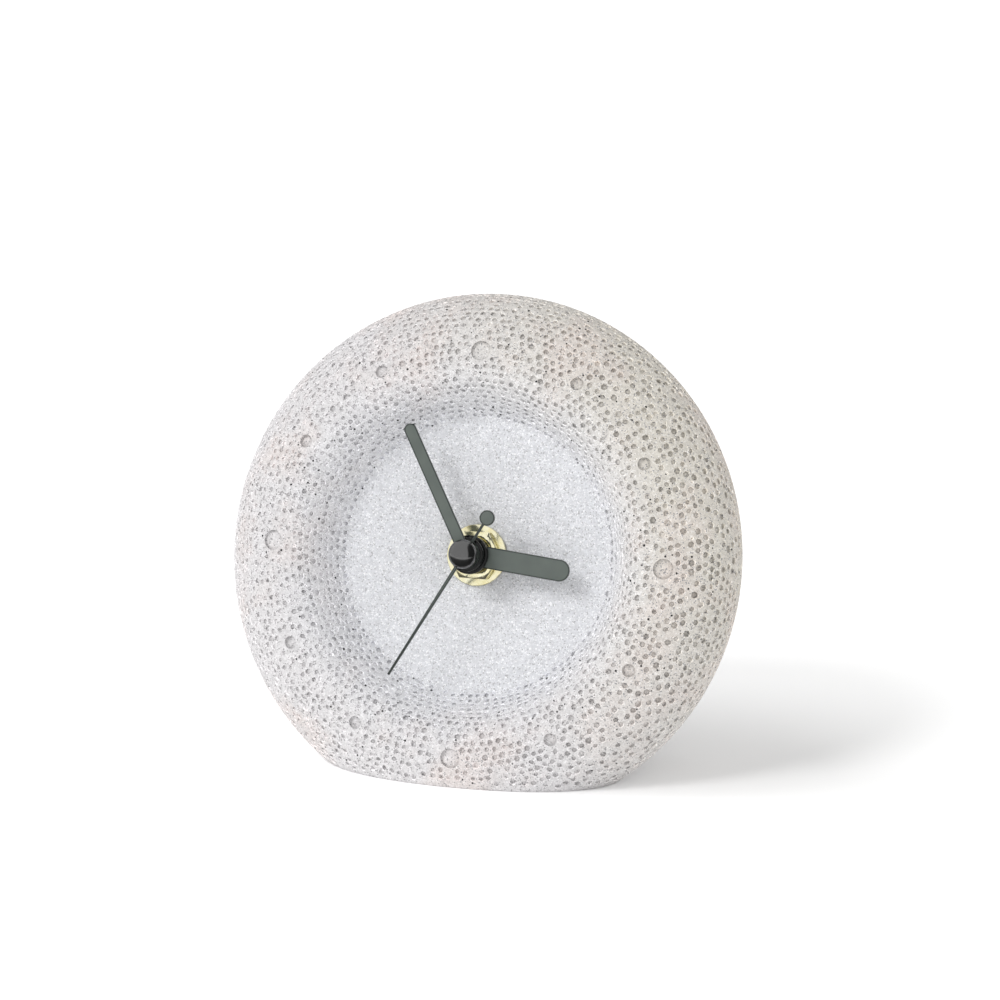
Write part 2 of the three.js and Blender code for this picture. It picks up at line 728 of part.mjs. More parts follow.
function rotorMagnet() {
  const outer = circle(MAGNET_RADIUS, ROUND_SIDES, rotor);
  const inner = circle(WHEEL_ARBOR_RADIUS + FIT_GAP, ROUND_SIDES, rotor);
  return plate(shapeOf(outer, inner), magnetLevel.back, magnetLevel.front);
}

// Wheels

function intermediateWheel() {
  return fuse(
    gear(intermediateLevel, ROTOR_MODULE, INTERMEDIATE_TEETH, intermediatePhase, intermediate),
    gear(secondsLevel, SECONDS_MODULE, INTERMEDIATE_LEAVES, intermediateLeafPhase, intermediate),
    rod(WHEEL_ARBOR_RADIUS, arborBack, arborFront, intermediate),
  );
}

function secondsWheel() {
  return fuse(
    gear(secondsLevel, SECONDS_MODULE, SECONDS_TEETH, secondsPhase, centre),
    gear(thirdLevel, THIRD_MODULE, SECONDS_LEAVES, secondsLeafPhase, centre),
    rod(SECONDS_ARBOR_RADIUS, arborBack, secondsArborEnd, centre),
  );
}

function thirdWheel() {
  return fuse(
    gear(thirdLevel, THIRD_MODULE, THIRD_TEETH, thirdPhase, third),
    gear(centreLevel, centreModule, THIRD_LEAVES, thirdLeafPhase, third),
    rod(WHEEL_ARBOR_RADIUS, arborBack, frontBearing - FIT_GAP, third),
  );
}

const minuteBore = SECONDS_ARBOR_RADIUS + FIT_GAP;
const cannonRide = MINUTE_TUBE_RADIUS + FIT_GAP;
const hourBore = MINUTE_TUBE_RADIUS + FIT_GAP;

function minuteCannon() {
  const tubeBack = plateLevel.back + FIT_GAP;
  return fuse(
    ring(MINUTE_TUBE_RADIUS, minuteBore, tubeBack, minuteTubeEnd),
    gear(motionLevel, CANNON_MODULE, CANNON_LEAVES, cannonPhase, centre, minuteBore),
  );
}

// A friction washer with three bowed arms between the cannon and the centre wheel
function clutchSpring() {
  const lobes = [];
  const step = Math.PI / (2 * SPRING_ARMS);
  for (let arm = 0; arm < SPRING_ARMS; arm++) {
    lobes.push(polar(centre, SPRING_RADIUS, 4 * arm * step));
    lobes.push(polar(centre, SPRING_RADIUS, (4 * arm + 1) * step));
    lobes.push(polar(centre, SPRING_WAIST_RADIUS, (4 * arm + 2) * step));
    lobes.push(polar(centre, SPRING_WAIST_RADIUS, (4 * arm + 3) * step));
  }
  const hole = circle(cannonRide, ROUND_SIDES);
  return plate(shapeOf(lobes, hole), springLevel.back, springLevel.front);
}

function motionWheel() {
  const bore = POST_RADIUS + FIT_GAP;
  return fuse(
    gear(motionLevel, CANNON_MODULE, MOTION_TEETH, motionPhase, motion, bore),
    gear(
      { back: motionLevel.front, front: hourLevel.front },
      hourModule, MOTION_LEAVES, motionLeafPhase, motion, bore,
    ),
  );
}

function hourWheel() {
  return fuse(
    gear(hourLevel, hourModule, HOUR_TEETH, hourPhase, centre, hourBore),
    ring(HOUR_TUBE_RADIUS, hourBore, hourLevel.back, hourBossLevel.front),
  );
}

const knobBoreEnd = knobLevel.back + KNOB_FACE;

function settingArbor() {
  return fuse(
    gear(motionLevel, CANNON_MODULE, SETTING_LEAVES, settingPhase, setting),
    rod(SETTING_ARBOR_RADIUS, knobBoreEnd + FIT_GAP, frontBearing - FIT_GAP, setting),
  );
}

function settingKnob() {
  const grip = [];
  for (let i = 0; i < 2 * KNOB_GROOVES; i++) {
    const radius = i % 2 ? KNOB_RADIUS - KNOB_GROOVE : KNOB_RADIUS;
    grip.push(polar(setting, radius, (Math.PI * i) / KNOB_GROOVES));
  }
  const bore = rod(
    SETTING_ARBOR_RADIUS + FIT_GAP, knobBoreEnd, knobLevel.front + OVERSHOOT, setting,
  );
  return carve(plate(shapeOf(grip), knobLevel.back, knobLevel.front), bore);
}

add('movement_shell', movementShell(), BLACK_PLASTIC);
add('middle_plate', middlePlate(), BLACK_PLASTIC);
add('rear_cover', rearCover(), BLACK_PLASTIC);
add('stator', stator(), DARK_STEEL);
add('coil_core', coilCore(), DARK_STEEL);
add('coil_bobbin', coilBobbin(), NATURAL_PLASTIC);
add('coil_winding', coilWinding(), COPPER);
add('rotor_pinion', rotorPinion(), WHITE_PLASTIC);
add('rotor_magnet', rotorMagnet(), DARK_STEEL);
add('intermediate_wheel', intermediateWheel(), WHITE_PLASTIC);
add('seconds_wheel', secondsWheel(), STEEL);
add('third_wheel', thirdWheel(), WHITE_PLASTIC);
const centreWheel = gear(centreLevel, centreModule, CENTRE_TEETH, centrePhase, centre, cannonRide);
add('centre_wheel', centreWheel, NATURAL_PLASTIC);
add('clutch_spring', clutchSpring(), STEEL);
add('minute_cannon', minuteCannon(), BRASS);
add('motion_wheel', motionWheel(), WHITE_PLASTIC);
add('hour_wheel', hourWheel(), NATURAL_PLASTIC);
add('setting_arbor', settingArbor(), WHITE_PLASTIC);
add('setting_knob', settingKnob(), WHITE_PLASTIC);

// Circuit

const chipX = -CHIP_RADIUS;
const boardMiddle = (boardBottom + boardTop) / 2;

function clockChip() {
  const dome = [[0, 0]];
  for (let i = 0; i < ARC_STEPS; i++) {
    const angle = (Math.PI / 2) * (i / ARC_STEPS);
    dome.push([CHIP_RADIUS * Math.cos(angle), CHIP_HEIGHT * Math.sin(angle)]);
  }
  dome.push([0, CHIP_HEIGHT]);
  return turned(dome).rotateX(Math.PI).translate(chipX, boardMiddle, boardLevel.back - FIT_GAP);
}

function quartzCrystal() {
  const can = new THREE.CylinderGeometry(CRYSTAL_RADIUS, CRYSTAL_RADIUS, CRYSTAL_LENGTH, ROUND_SIDES);
  can.rotateZ(Math.PI / 2);
  const left = chipX - CHIP_RADIUS - RUN_GAP - CRYSTAL_LENGTH / 2;
  return can.translate(left, boardMiddle, boardLevel.back - FIT_GAP - CRYSTAL_RADIUS);
}

const board = block(-innerHalf, innerHalf, boardBottom, boardTop, boardLevel.back, boardLevel.front);
add('circuit_board', board, BOARD_GREEN);
add('clock_chip', clockChip(), BLACK_GLOSS);
add('quartz_crystal', quartzCrystal(), STEEL);

// Cell and contacts

function batteryCell() {
  const can = cellEnd - CELL_NUB_LENGTH;
  const profile = [
    [0, can - CELL_LENGTH],
    [CELL_RADIUS, can - CELL_LENGTH],
    [CELL_RADIUS, can],
    [CELL_NUB_RADIUS, can],
    [CELL_NUB_RADIUS, cellEnd],
    [0, cellEnd],
  ];
  return turned(profile).rotateY(Math.PI / 2).translate(0, cellY, cellZ);
}

// A strip that stands beside the cell's end and climbs the side wall to the circuit board
function contactStrip(side) {
  const x0 = side * (innerHalf + FIT_GAP);
  const [low, high] = [x0, x0 + side * CONTACT_THICKNESS].sort((a, b) => a - b);
  const half = CONTACT_WIDTH / 2;
  const strapBack = boardLevel.back - STRAP_WIDTH / 2;
  return fuse(
    block(low, high, cellY - half, cellY + half, cellZ - half, cellZ + half),
    block(low, high, cellY, boardTop, strapBack, strapBack + STRAP_WIDTH),
  );
}

function negativeContact() {
  const cellStart = cellEnd - CELL_NUB_LENGTH - CELL_LENGTH;
  const stripFace = -innerHalf - FIT_GAP;
  const reach = cellStart - FIT_GAP - stripFace;
  const bump = new THREE.CylinderGeometry(
    BUMP_TIP_RADIUS, BUMP_ROOT_RADIUS, reach + CONTACT_THICKNESS / 2, ROUND_SIDES,
  );
  bump.rotateZ(-Math.PI / 2);
  bump.translate(stripFace + reach / 2 - CONTACT_THICKNESS / 4, cellY, cellZ);
  return fuse(contactStrip(-1), bump);
}

add('battery_cell', batteryCell(), CELL_WRAP);
add('positive_contact', contactStrip(1), STEEL);
add('negative_contact', negativeContact(), STEEL);

// Hands

// A flat hand that points at twelve: a round eye, an arm and a round end
function handShape(length, width, eye, hole) {
  const half = width / 2;
  const shoulder = Math.acos(half / eye);
  const shape = new THREE.Shape();
  shape.absarc(0, length - half, half, 0, Math.PI);
  shape.absarc(0, 0, eye, Math.PI - shoulder, 2 * Math.PI + shoulder);
  shape.holes.push(new THREE.Path(circle(hole, ROUND_SIDES)));
  return shape;
}

// A black collar: a sleeve through the hand's eye, and a wide flange on one side of it
function boss(bore, sleeve, flange, sleeveSpan, flangeSpan) {
  return fuse(
    ring(sleeve, bore, sleeveSpan.back, sleeveSpan.front),
    ring(flange, bore, flangeSpan.back, flangeSpan.front),
  );
}

const hourBossBore = HOUR_TUBE_RADIUS + FIT_GAP;
const hourSleeve = hourBossBore + HOUR_SLEEVE_WALL;
const hourEyeHole = hourSleeve + FIT_GAP;
const minuteBossBore = MINUTE_TUBE_RADIUS + FIT_GAP;
const minuteSleeve = minuteBossBore + MINUTE_SLEEVE_WALL;
const minuteEyeHole = minuteSleeve + FIT_GAP;
const secondEyeHole = SECONDS_ARBOR_RADIUS + FIT_GAP;

function flatHand(level, length, width, hole) {
  return plate(handShape(length, width, hole + EYE_WALL, hole), level.back, level.front);
}

function secondHand() {
  const { back, front } = secondHandLevel;
  const eye = ring(secondEyeHole + EYE_WALL, secondEyeHole, back, front);
  const start = secondEyeHole + EYE_WALL / 2;
  const needle = plate(shapeOf([
    new THREE.Vector2(-SECOND_ROOT_WIDTH / 2, start),
    new THREE.Vector2(SECOND_ROOT_WIDTH / 2, start),
    new THREE.Vector2(SECOND_TIP_WIDTH / 2, SECOND_HAND_LENGTH),
    new THREE.Vector2(-SECOND_TIP_WIDTH / 2, SECOND_HAND_LENGTH),
  ]), back, front);
  const half = SECOND_ROOT_WIDTH / 2;
  const tail = block(-half, half, -COUNTERWEIGHT_REACH, -start, back, front);
  const disc = rod(
    COUNTERWEIGHT_RADIUS, back, front, new THREE.Vector2(0, -COUNTERWEIGHT_REACH), ROUND_SIDES,
  );
  return fuse(eye, needle, tail, disc);
}

function secondHandCap() {
  const profile = [[secondEyeHole, capLevel.back], [CAP_RADIUS, capLevel.back]];
  for (let i = 0; i < ARC_STEPS; i++) {
    const angle = (Math.PI / 2) * (i / ARC_STEPS);
    profile.push([CAP_RADIUS * Math.cos(angle), capLevel.front + CAP_DOME * Math.sin(angle)]);
  }
  const boreEnd = secondsArborEnd + FIT_GAP;
  profile.push([0, capLevel.front + CAP_DOME], [0, boreEnd], [secondEyeHole, boreEnd]);
  profile.push([secondEyeHole, capLevel.back]);
  return geometryOf(solidOf(turned(profile)));
}

const hourGroup = handGroup(HOUR_ANGLE);
const minuteGroup = handGroup(MINUTE_ANGLE);
const secondGroup = handGroup(SECOND_ANGLE);

const hourHand = flatHand(hourHandLevel, HOUR_HAND_LENGTH, HOUR_HAND_WIDTH, hourEyeHole);
const minuteHand = flatHand(minuteHandLevel, MINUTE_HAND_LENGTH, MINUTE_HAND_WIDTH, minuteEyeHole);
const hourSleeveSpan = { back: hourHandLevel.back, front: hourBossLevel.front };
const minuteSleeveSpan = { back: minuteBossLevel.back, front: minuteHandLevel.front };
const hourBoss = boss(hourBossBore, hourSleeve, HOUR_BOSS_RADIUS, hourSleeveSpan, hourBossLevel);
const minuteBoss = boss(
  minuteBossBore, minuteSleeve, MINUTE_BOSS_RADIUS, minuteSleeveSpan, minuteBossLevel,
);

add('hour_hand', hourHand, HAND_METAL, hourGroup);
add('hour_hand_boss', hourBoss, BLACK_GLOSS, hourGroup);
add('minute_hand', minuteHand, HAND_METAL, minuteGroup);
add('minute_hand_boss', minuteBoss, BLACK_GLOSS, minuteGroup);
add('second_hand', secondHand(), HAND_METAL, secondGroup);
add('second_hand_cap', secondHandCap(), BLACK_GLOSS, secondGroup);

// The origin goes under the middle of the box, on the desk

clock.updateMatrixWorld(true);
const box = new THREE.Box3().setFromObject(clock, true);
leaning.position.y = -(box.min.y + box.max.y) / 2;

export default clock;
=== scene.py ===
# %% [markdown]
# # A leaning desk clock, cast in concrete
#
# The clock is one heavy ring of cast concrete with a dished dial in its middle. A quartz movement
# sits in a pocket at the back, and its tubes come out through a brass fixing in the dial. The
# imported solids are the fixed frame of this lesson: every piece takes its place from them.

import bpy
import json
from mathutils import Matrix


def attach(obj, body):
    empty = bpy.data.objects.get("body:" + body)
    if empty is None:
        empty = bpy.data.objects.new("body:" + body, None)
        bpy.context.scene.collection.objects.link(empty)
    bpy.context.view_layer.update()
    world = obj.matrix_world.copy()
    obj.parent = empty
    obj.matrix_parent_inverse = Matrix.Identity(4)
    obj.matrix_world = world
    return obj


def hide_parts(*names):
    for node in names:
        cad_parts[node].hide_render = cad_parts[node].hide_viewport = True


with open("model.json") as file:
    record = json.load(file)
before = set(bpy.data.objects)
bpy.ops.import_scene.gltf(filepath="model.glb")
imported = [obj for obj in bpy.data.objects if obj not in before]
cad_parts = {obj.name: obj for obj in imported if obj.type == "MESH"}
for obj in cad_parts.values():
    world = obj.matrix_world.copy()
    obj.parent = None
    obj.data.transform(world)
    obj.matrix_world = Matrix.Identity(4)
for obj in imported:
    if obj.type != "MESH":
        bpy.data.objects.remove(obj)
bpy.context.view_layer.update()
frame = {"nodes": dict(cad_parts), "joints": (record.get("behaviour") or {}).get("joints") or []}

import json
import math
import random

import bmesh
import bpy
import numpy as np
from mathutils import Euler, Matrix, Vector, noise
from mathutils.kdtree import KDTree

nodes = frame["nodes"]

# %% [markdown]
# ## The dial's own frame
#
# The dial leans back, so nothing on it lines up with the world's axes. Each piece is easier to
# model upright and in millimetres, with x to the right, y up the dial and z out of it, and to
# lean as its last step. The axis that the hands turn on gives both the place and the lean.

# %% Dial frame
MM = 0.001
hand_axis = next(j for j in frame["joints"] if j["name"] == "minute_hand_turn")
DIAL_CENTRE = Vector(hand_axis["pos_m"])
LEAN = math.atan2(-hand_axis["axis"][2], hand_axis["axis"][1])
DIAL_TURN = Euler((math.pi / 2 - LEAN, 0, 0))
to_desk = Matrix.LocRotScale(DIAL_CENTRE, DIAL_TURN, Vector((MM, MM, MM)))
to_dial = to_desk.inverted()
DESK_UP = Vector((0, math.cos(LEAN), math.sin(LEAN)))
DIAL_HEIGHT = DIAL_CENTRE.z / MM


def dial_points(node):
    """A solid's corners in the dial's frame, in millimetres."""
    return [to_dial @ corner.co for corner in nodes[node].data.vertices]


def dial_box(node):
    """A solid's lowest and highest corners in the dial's frame, in millimetres."""
    columns = list(zip(*dial_points(node)))
    return Vector([min(c) for c in columns]), Vector([max(c) for c in columns])


print(f"the dial leans back {math.degrees(LEAN):.1f} degrees")

# %% [markdown]
# ## Camera
#
# The photograph was taken with a long lens from a little to the right and a little above. A long
# lens keeps the ring nearly round, so the camera stands over seven ring widths away. Its place
# and turn are set as one matrix: right, up and back.

# %% Camera
CAMERA_PLACE = Vector((0.25821, -0.83962, 0.27033))
CAMERA_AZIMUTH = math.radians(16.97)
CAMERA_ELEVATION = math.radians(13.51)
LENS = 142.04
SENSOR = 36


def add_object(name, data):
    """A new object in the scene."""
    thing = bpy.data.objects.new(name, data)
    bpy.context.scene.collection.objects.link(thing)
    return thing


back = Vector((
    math.sin(CAMERA_AZIMUTH) * math.cos(CAMERA_ELEVATION),
    -math.cos(CAMERA_AZIMUTH) * math.cos(CAMERA_ELEVATION),
    math.sin(CAMERA_ELEVATION),
))
right = Vector((math.cos(CAMERA_AZIMUTH), math.sin(CAMERA_AZIMUTH), 0))
camera_data = bpy.data.cameras.new("camera")
camera_data.sensor_width = SENSOR
camera_data.lens = LENS
camera = add_object("camera", camera_data)
camera.matrix_world = Matrix.Translation(CAMERA_PLACE) @ Matrix(
    (right, back.cross(right), back)
).transposed().to_4x4()
bpy.context.scene.camera = camera
bpy.context.scene.view_settings.view_transform = "Standard"
print(f"camera {CAMERA_PLACE.length:.2f} m from the clock, {LENS:.0f} mm lens")

# %% [markdown]
# ## Building node trees
#
# Every finish below is a tree of shader nodes. A small helper adds a node, sets its values and
# links its inputs in one line, which keeps each recipe readable from top to bottom.

# %% Node helpers
def add_node(tree, kind, inputs=None, **settings):
    """Adds a node. Each input is given a value, or linked to another node's output."""
    node = tree.nodes.new(kind)
    for name, value in settings.items():
        setattr(node, name, value)
    for key, value in (inputs or {}).items():
        if isinstance(value, bpy.types.NodeSocket):
            tree.links.new(value, node.inputs[key])
        else:
            node.inputs[key].default_value = value
    return node


def calculate(tree, operation, *values):
    """A Math node's result."""
    node = add_node(tree, "ShaderNodeMath", dict(enumerate(values)), operation=operation)
    return node.outputs[0]


def product(tree, value, *others):
    """Some values, multiplied."""
    for other in others:
        value = calculate(tree, "MULTIPLY", value, other)
    return value


def blend_colours(tree, first, second, factor, mode="MIX"):
    """A Mix node's colour."""
    mixer = add_node(
        tree, "ShaderNodeMix", {0: factor, 6: first, 7: second}, data_type="RGBA", blend_type=mode
    )
    return mixer.outputs[2]


def between(tree, value, start, end, low=0.0, high=1.0):
    """A value moved from one range to another, and held at its ends."""
    return add_node(
        tree, "ShaderNodeMapRange",
        {"Value": value, "From Min": start, "From Max": end, "To Min": low, "To Max": high},
    ).outputs[0]


def tone(red, green, blue):
    """A colour as the eye reads it, 0 to 255, turned into the linear numbers that nodes use."""
    shares = [channel / 255 for channel in (red, green, blue)]
    linear = [s / 12.92 if s <= 0.04045 else ((s + 0.055) / 1.055) ** 2.4 for s in shares]
    return (*linear, 1.0)


def new_finish(name, **values):
    """A material whose shader has these plain values. A _ in a name stands for a space."""
    material = bpy.data.materials.new(name)
    material.use_nodes = True
    tree = material.node_tree
    shader = tree.nodes["Principled BSDF"]
    for socket, value in values.items():
        shader.inputs[socket.replace("_", " ")].default_value = value
    return material, tree, shader


print("node helpers ready")

# %% [markdown]
# ## Studio
#
# The photograph is lit softly from both sides, a little more from the left, and its background is
# plain white. The world looks white to the camera and in reflections. As a light it has bright
# side walls, a softer front and a dim ceiling, so that the ring's top and the dish keep a shade.
# A sun lamp from the front left draws the pits. A second one, from the left, lights only the floor
# and lays the soft shadow there. The floor is white paper with a faint glow that carries no light,
# so it is as white as the background. Two dark cards that only mirrors see, one on the right and
# one on the desk, give polished parts an edge.

# %% World
SKY = {"all_round": 0.17, "sides": 0.80, "front": 0.42}
WHITE = (1, 1, 1, 1)


def seen_directly(tree):
    """1 for rays from the camera, mirrors and glass, and 0 for rays that carry light."""
    path = add_node(tree, "ShaderNodeLightPath").outputs
    shiny = calculate(tree, "MAXIMUM", path["Is Glossy Ray"], path["Is Transmission Ray"])
    return calculate(tree, "MAXIMUM", path["Is Camera Ray"], shiny)


world = bpy.data.worlds.new("white studio")
world.use_nodes = True
air = world.node_tree
sky = air.nodes["Background"]
sky.inputs["Color"].default_value = WHITE
way = add_node(air, "ShaderNodeSeparateXYZ", {
    0: add_node(air, "ShaderNodeTexCoord").outputs["Generated"],
}).outputs
sides = product(air, calculate(air, "ABSOLUTE", way["X"]), SKY["sides"])
front = calculate(air, "MAXIMUM", product(air, way["Y"], -SKY["front"]), 0.0)
light = calculate(air, "ADD", calculate(air, "ADD", sides, front), SKY["all_round"])
air.links.new(between(air, seen_directly(air), 0, 1, light, 1.0), sky.inputs["Strength"])
bpy.context.scene.world = world
print("world:", SKY)

# %% Floor
PAPER = (0.93, 0.93, 0.93, 1)
FLOOR_SIZE = 12.0
FLOOR_DROP = 0.0001
FLOOR_GLOW = 0.16
bpy.ops.object.select_all(action="DESELECT")
bpy.ops.mesh.primitive_plane_add(size=FLOOR_SIZE, location=(0, 0, -FLOOR_DROP))
floor = bpy.context.object
floor.name = "floor"
paper, tree, shader = new_finish("white paper")
tree.nodes.remove(shader)
sheet = add_node(tree, "ShaderNodeBsdfDiffuse", {"Color": PAPER})
share = product(tree, seen_directly(tree), FLOOR_GLOW)
glow = add_node(tree, "ShaderNodeEmission", {"Strength": share})
lit = add_node(tree, "ShaderNodeAddShader", {0: sheet.outputs[0], 1: glow.outputs[0]})
tree.links.new(lit.outputs[0], tree.nodes["Material Output"].inputs["Surface"])
floor.data.materials.append(paper)
print(f"floor {FLOOR_SIZE:.0f} m wide")

# %% Cards that only mirrors see
CARDS = {
    "side_card": {"middle": (0.50, 0.0, 0.70), "size": (1.6, 2.2), "tilt": 90,
                  "tone": (0.01, 0.01, 0.01, 1)},
    "desk_card": {"middle": (0.10, -0.147, 0.002), "size": (0.9, 0.226), "tilt": 0,
                  "tone": (0.06, 0.06, 0.06, 1)},
}
RAYS_PAST_CARDS = ("camera", "diffuse", "shadow", "transmission", "volume_scatter")
for name, settings in CARDS.items():
    bpy.ops.object.select_all(action="DESELECT")
    bpy.ops.mesh.primitive_plane_add(size=1, location=settings["middle"])
    card = bpy.context.object
    card.name = name
    card.scale = (*settings["size"], 1)
    card.rotation_euler.y = math.radians(settings["tilt"])
    card.data.materials.append(new_finish(name, Base_Color=settings["tone"])[0])
    for ray in RAYS_PAST_CARDS:
        setattr(card, "visible_" + ray, False)
print("cards:", list(CARDS))

# %% Lamps
LAMPS = {
    "soft_box": {"azimuth": -38, "elevation": 42, "breadth": 20, "power": 1.10},
    "floor_lamp": {"azimuth": -80, "elevation": 54, "breadth": 34, "power": 1.05},
}
for name, settings in LAMPS.items():
    lamp_data = bpy.data.lights.new(name, "SUN")
    lamp_data.angle = math.radians(settings["breadth"])
    lamp_data.energy = settings["power"]
    lamp = add_object(name, lamp_data)
    lamp.rotation_euler = (math.radians(90 - settings["elevation"]), 0,
                           math.radians(settings["azimuth"]))
    lamp.visible_glossy = False
floor_only = bpy.data.collections.new("floor_only")
floor_only.objects.link(floor)
bpy.data.objects["floor_lamp"].light_linking.receiver_collection = floor_only
print("lamps:", list(LAMPS))

# %% [markdown]
# ## Modelling helpers
#
# Operators act on whatever is selected, so each step starts by clearing the selection. The
# helpers here do that, pick faces or edges by their place, apply a modifier at once, start a
# piece from a primitive or a drawn line, and lean a finished piece back into its place.

# %% Select, cut and round
SELECT_MODES = {"verts": "VERT", "edges": "EDGE", "faces": "FACE"}
FLAT = 0.999


def activate(piece):
    """Leaves only this piece selected, in object mode."""
    if bpy.context.object and bpy.context.object.mode != "OBJECT":
        bpy.ops.object.mode_set(mode="OBJECT")
    bpy.ops.object.select_all(action="DESELECT")
    if piece:
        piece.select_set(True)
        bpy.context.view_layer.objects.active = piece


def edit(piece):
    """Opens the piece in edit mode with all of it selected."""
    activate(piece)
    bpy.ops.object.mode_set(mode="EDIT")
    bpy.ops.mesh.select_mode(type="VERT")
    bpy.ops.mesh.select_all(action="SELECT")


def choose(piece, kind, test):
    """In edit mode, selects the verts, edges or faces that pass a test."""
    bpy.ops.mesh.select_mode(type=SELECT_MODES[kind])
    bpy.ops.mesh.select_all(action="DESELECT")
    mesh = bmesh.from_edit_mesh(piece.data)
    for item in getattr(mesh, kind):
        if test(item):
            item.select_set(True)
    bmesh.update_edit_mesh(piece.data)


def choose_facing(piece, x, y, z):
    """In edit mode, selects the faces that look straight along a way."""
    choose(piece, "faces", lambda face: face.normal.dot(Vector((x, y, z))) > FLAT)


def push(*move):
    """In edit mode, extrudes what is selected."""
    bpy.ops.mesh.extrude_region_move(TRANSFORM_OT_translate={"value": move})


def apply_modifier(piece, kind, **settings):
    """Adds a modifier and applies it at once."""
    modifier = piece.modifiers.new(kind.lower(), kind)
    for name, value in settings.items():
        setattr(modifier, name, value)
    activate(piece)
    bpy.ops.object.modifier_apply(modifier=modifier.name)


def combine(piece, tool, operation="DIFFERENCE"):
    """Cuts a piece with a tool, or joins them, and throws the tool away."""
    apply_modifier(
        piece, "BOOLEAN", object=tool, operation=operation, solver="MANIFOLD",
        material_mode="TRANSFER",
    )
    bpy.data.objects.remove(tool)


def round_edges(piece, width, segments=2, angle=30):
    """Rounds edges sharper than an angle in degrees. Very short edges clamp the width."""
    apply_modifier(
        piece, "BEVEL", width=width, segments=segments, limit_method="ANGLE",
        angle_limit=math.radians(angle),
    )


def shade(piece, angle=30):
    """Smooth shading that stops at edges sharper than an angle in degrees."""
    activate(piece)
    bpy.ops.object.shade_smooth_by_angle(angle=math.radians(angle))


print("selecting, cutting and rounding ready")

# %% Place a piece and hand it over
def settle(piece):
    """Writes the piece's own place, turn and scale into its mesh."""
    activate(piece)
    bpy.ops.object.transform_apply(location=True, rotation=True, scale=True)


def lean_back(piece):
    """Moves a piece from the dial's frame to its place on the desk."""
    settle(piece)
    piece.matrix_world = to_desk
    settle(piece)


def fit_piece(piece, body, slot, material, *replaced, angle=None):
    """Shades and places a piece. Sets its material and its body, and hides the solids it stands
    for.
    """
    if angle:
        shade(piece, angle)
    lean_back(piece)
    if material:
        piece.data.materials.clear()
        piece.data.materials.append(material)
    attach(piece, body)
    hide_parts(*replaced)
    piece.data.calc_loop_triangles()
    print(f"{piece.name}: {len(piece.data.loop_triangles)} triangles on {body}")


print("placing ready")

# %% Start a piece
def primitive(operator, name, **settings):
    """Adds a primitive, names it and writes its place into its mesh."""
    activate(None)
    operator(**settings)
    piece = bpy.context.object
    piece.name = piece.data.name = name
    settle(piece)
    return piece


def traced(name, corners):
    """Draws a line beside the axis, corner by corner, and leaves it open in edit mode."""
    piece = primitive(bpy.ops.mesh.primitive_plane_add, name, size=1)
    edit(piece)
    bpy.ops.mesh.merge(type="CENTER")
    here = (0, 0)
    for step, corner in enumerate(corners):
        move = (corner[0] - here[0], 0, corner[1] - here[1])
        if step:
            push(*move)
        else:
            bpy.ops.transform.translate(value=move)
        here = corner
    bpy.ops.mesh.select_all(action="SELECT")
    return piece


def turned(name, section, steps, closed=True):
    """Draws half a section beside the axis and spins it round the axis."""
    piece = traced(name, section + section[:1] * closed)
    bpy.ops.mesh.spin(steps=steps, angle=2 * math.pi, center=(0, 0, 0), axis=(0, 0, 1))
    bpy.ops.mesh.select_all(action="SELECT")
    bpy.ops.mesh.remove_doubles(threshold=0.001)
    bpy.ops.mesh.delete_loose()
    bpy.ops.mesh.select_all(action="SELECT")
    bpy.ops.mesh.normals_make_consistent(inside=False)
    activate(piece)
    return piece


def box(name, low, high):
    """A block between two corners."""
    return primitive(bpy.ops.mesh.primitive_cube_add, name, size=1,
                     location=[(a + b) / 2 for a, b in zip(low, high)],
                     scale=[b - a for a, b in zip(low, high)])


def drum(name, radius, back, front, centre=(0, 0), sides=48):
    """A round block along the dial's axis."""
    return primitive(bpy.ops.mesh.primitive_cylinder_add, name, vertices=sides, radius=radius,
                     depth=front - back, location=(*centre, (back + front) / 2))


def upright(edge):
    """True for an edge that runs along the dial's axis."""
    first, second = (corner.co for corner in edge.verts)
    return (first.xy - second.xy).length < 1e-3 < abs(first.z - second.z)


def round_corners(piece, radius, segments, test=upright):
    """Rounds the upright edges of a block, as seen from the front."""
    edit(piece)
    choose(piece, "edges", test)
    bpy.ops.mesh.bevel(offset=radius, segments=segments, affect="EDGES")
    activate(piece)


print("primitives and spun sections ready")

# %% [markdown]
# ## Effects that several finishes share
#
# Sand shows as thousands of grains, each with its own shade. A Voronoi texture gives every grain
# one random number, which is cheaper and crisper than noise. Cloudy marks come from slow noise.
# Turned metal carries fine rings round its axis. Each effect is a node group, built once and
# placed in a finish with its own values.

# %% Group helpers
def new_group(name, inputs, outputs):
    """An empty shader node group with named sockets."""
    group = bpy.data.node_groups.new(name, "ShaderNodeTree")
    for socket in inputs:
        kind = "NodeSocketVector" if socket == "Vector" else "NodeSocketFloat"
        group.interface.new_socket(socket, in_out="INPUT", socket_type=kind)
    for socket in outputs:
        group.interface.new_socket(socket, in_out="OUTPUT", socket_type="NodeSocketFloat")
    start = group.nodes.new("NodeGroupInput").outputs
    end = group.nodes.new("NodeGroupOutput").inputs
    return group, start, end


def sized(tree, vector, size):
    """A pattern's coordinates, so that one unit of it measures a given size."""
    scale = calculate(tree, "DIVIDE", 1.0, size)
    return add_node(
        tree, "ShaderNodeVectorMath", {0: vector, "Scale": scale}, operation="SCALE"
    ).outputs[0]


def axis_distance(tree, vector):
    """How far a place lies from the dial's axis."""
    flat = add_node(tree, "ShaderNodeVectorMath", {0: vector, 1: (1, 1, 0)},
                    operation="MULTIPLY").outputs[0]
    return add_node(tree, "ShaderNodeVectorMath", {0: flat}, operation="LENGTH").outputs["Value"]


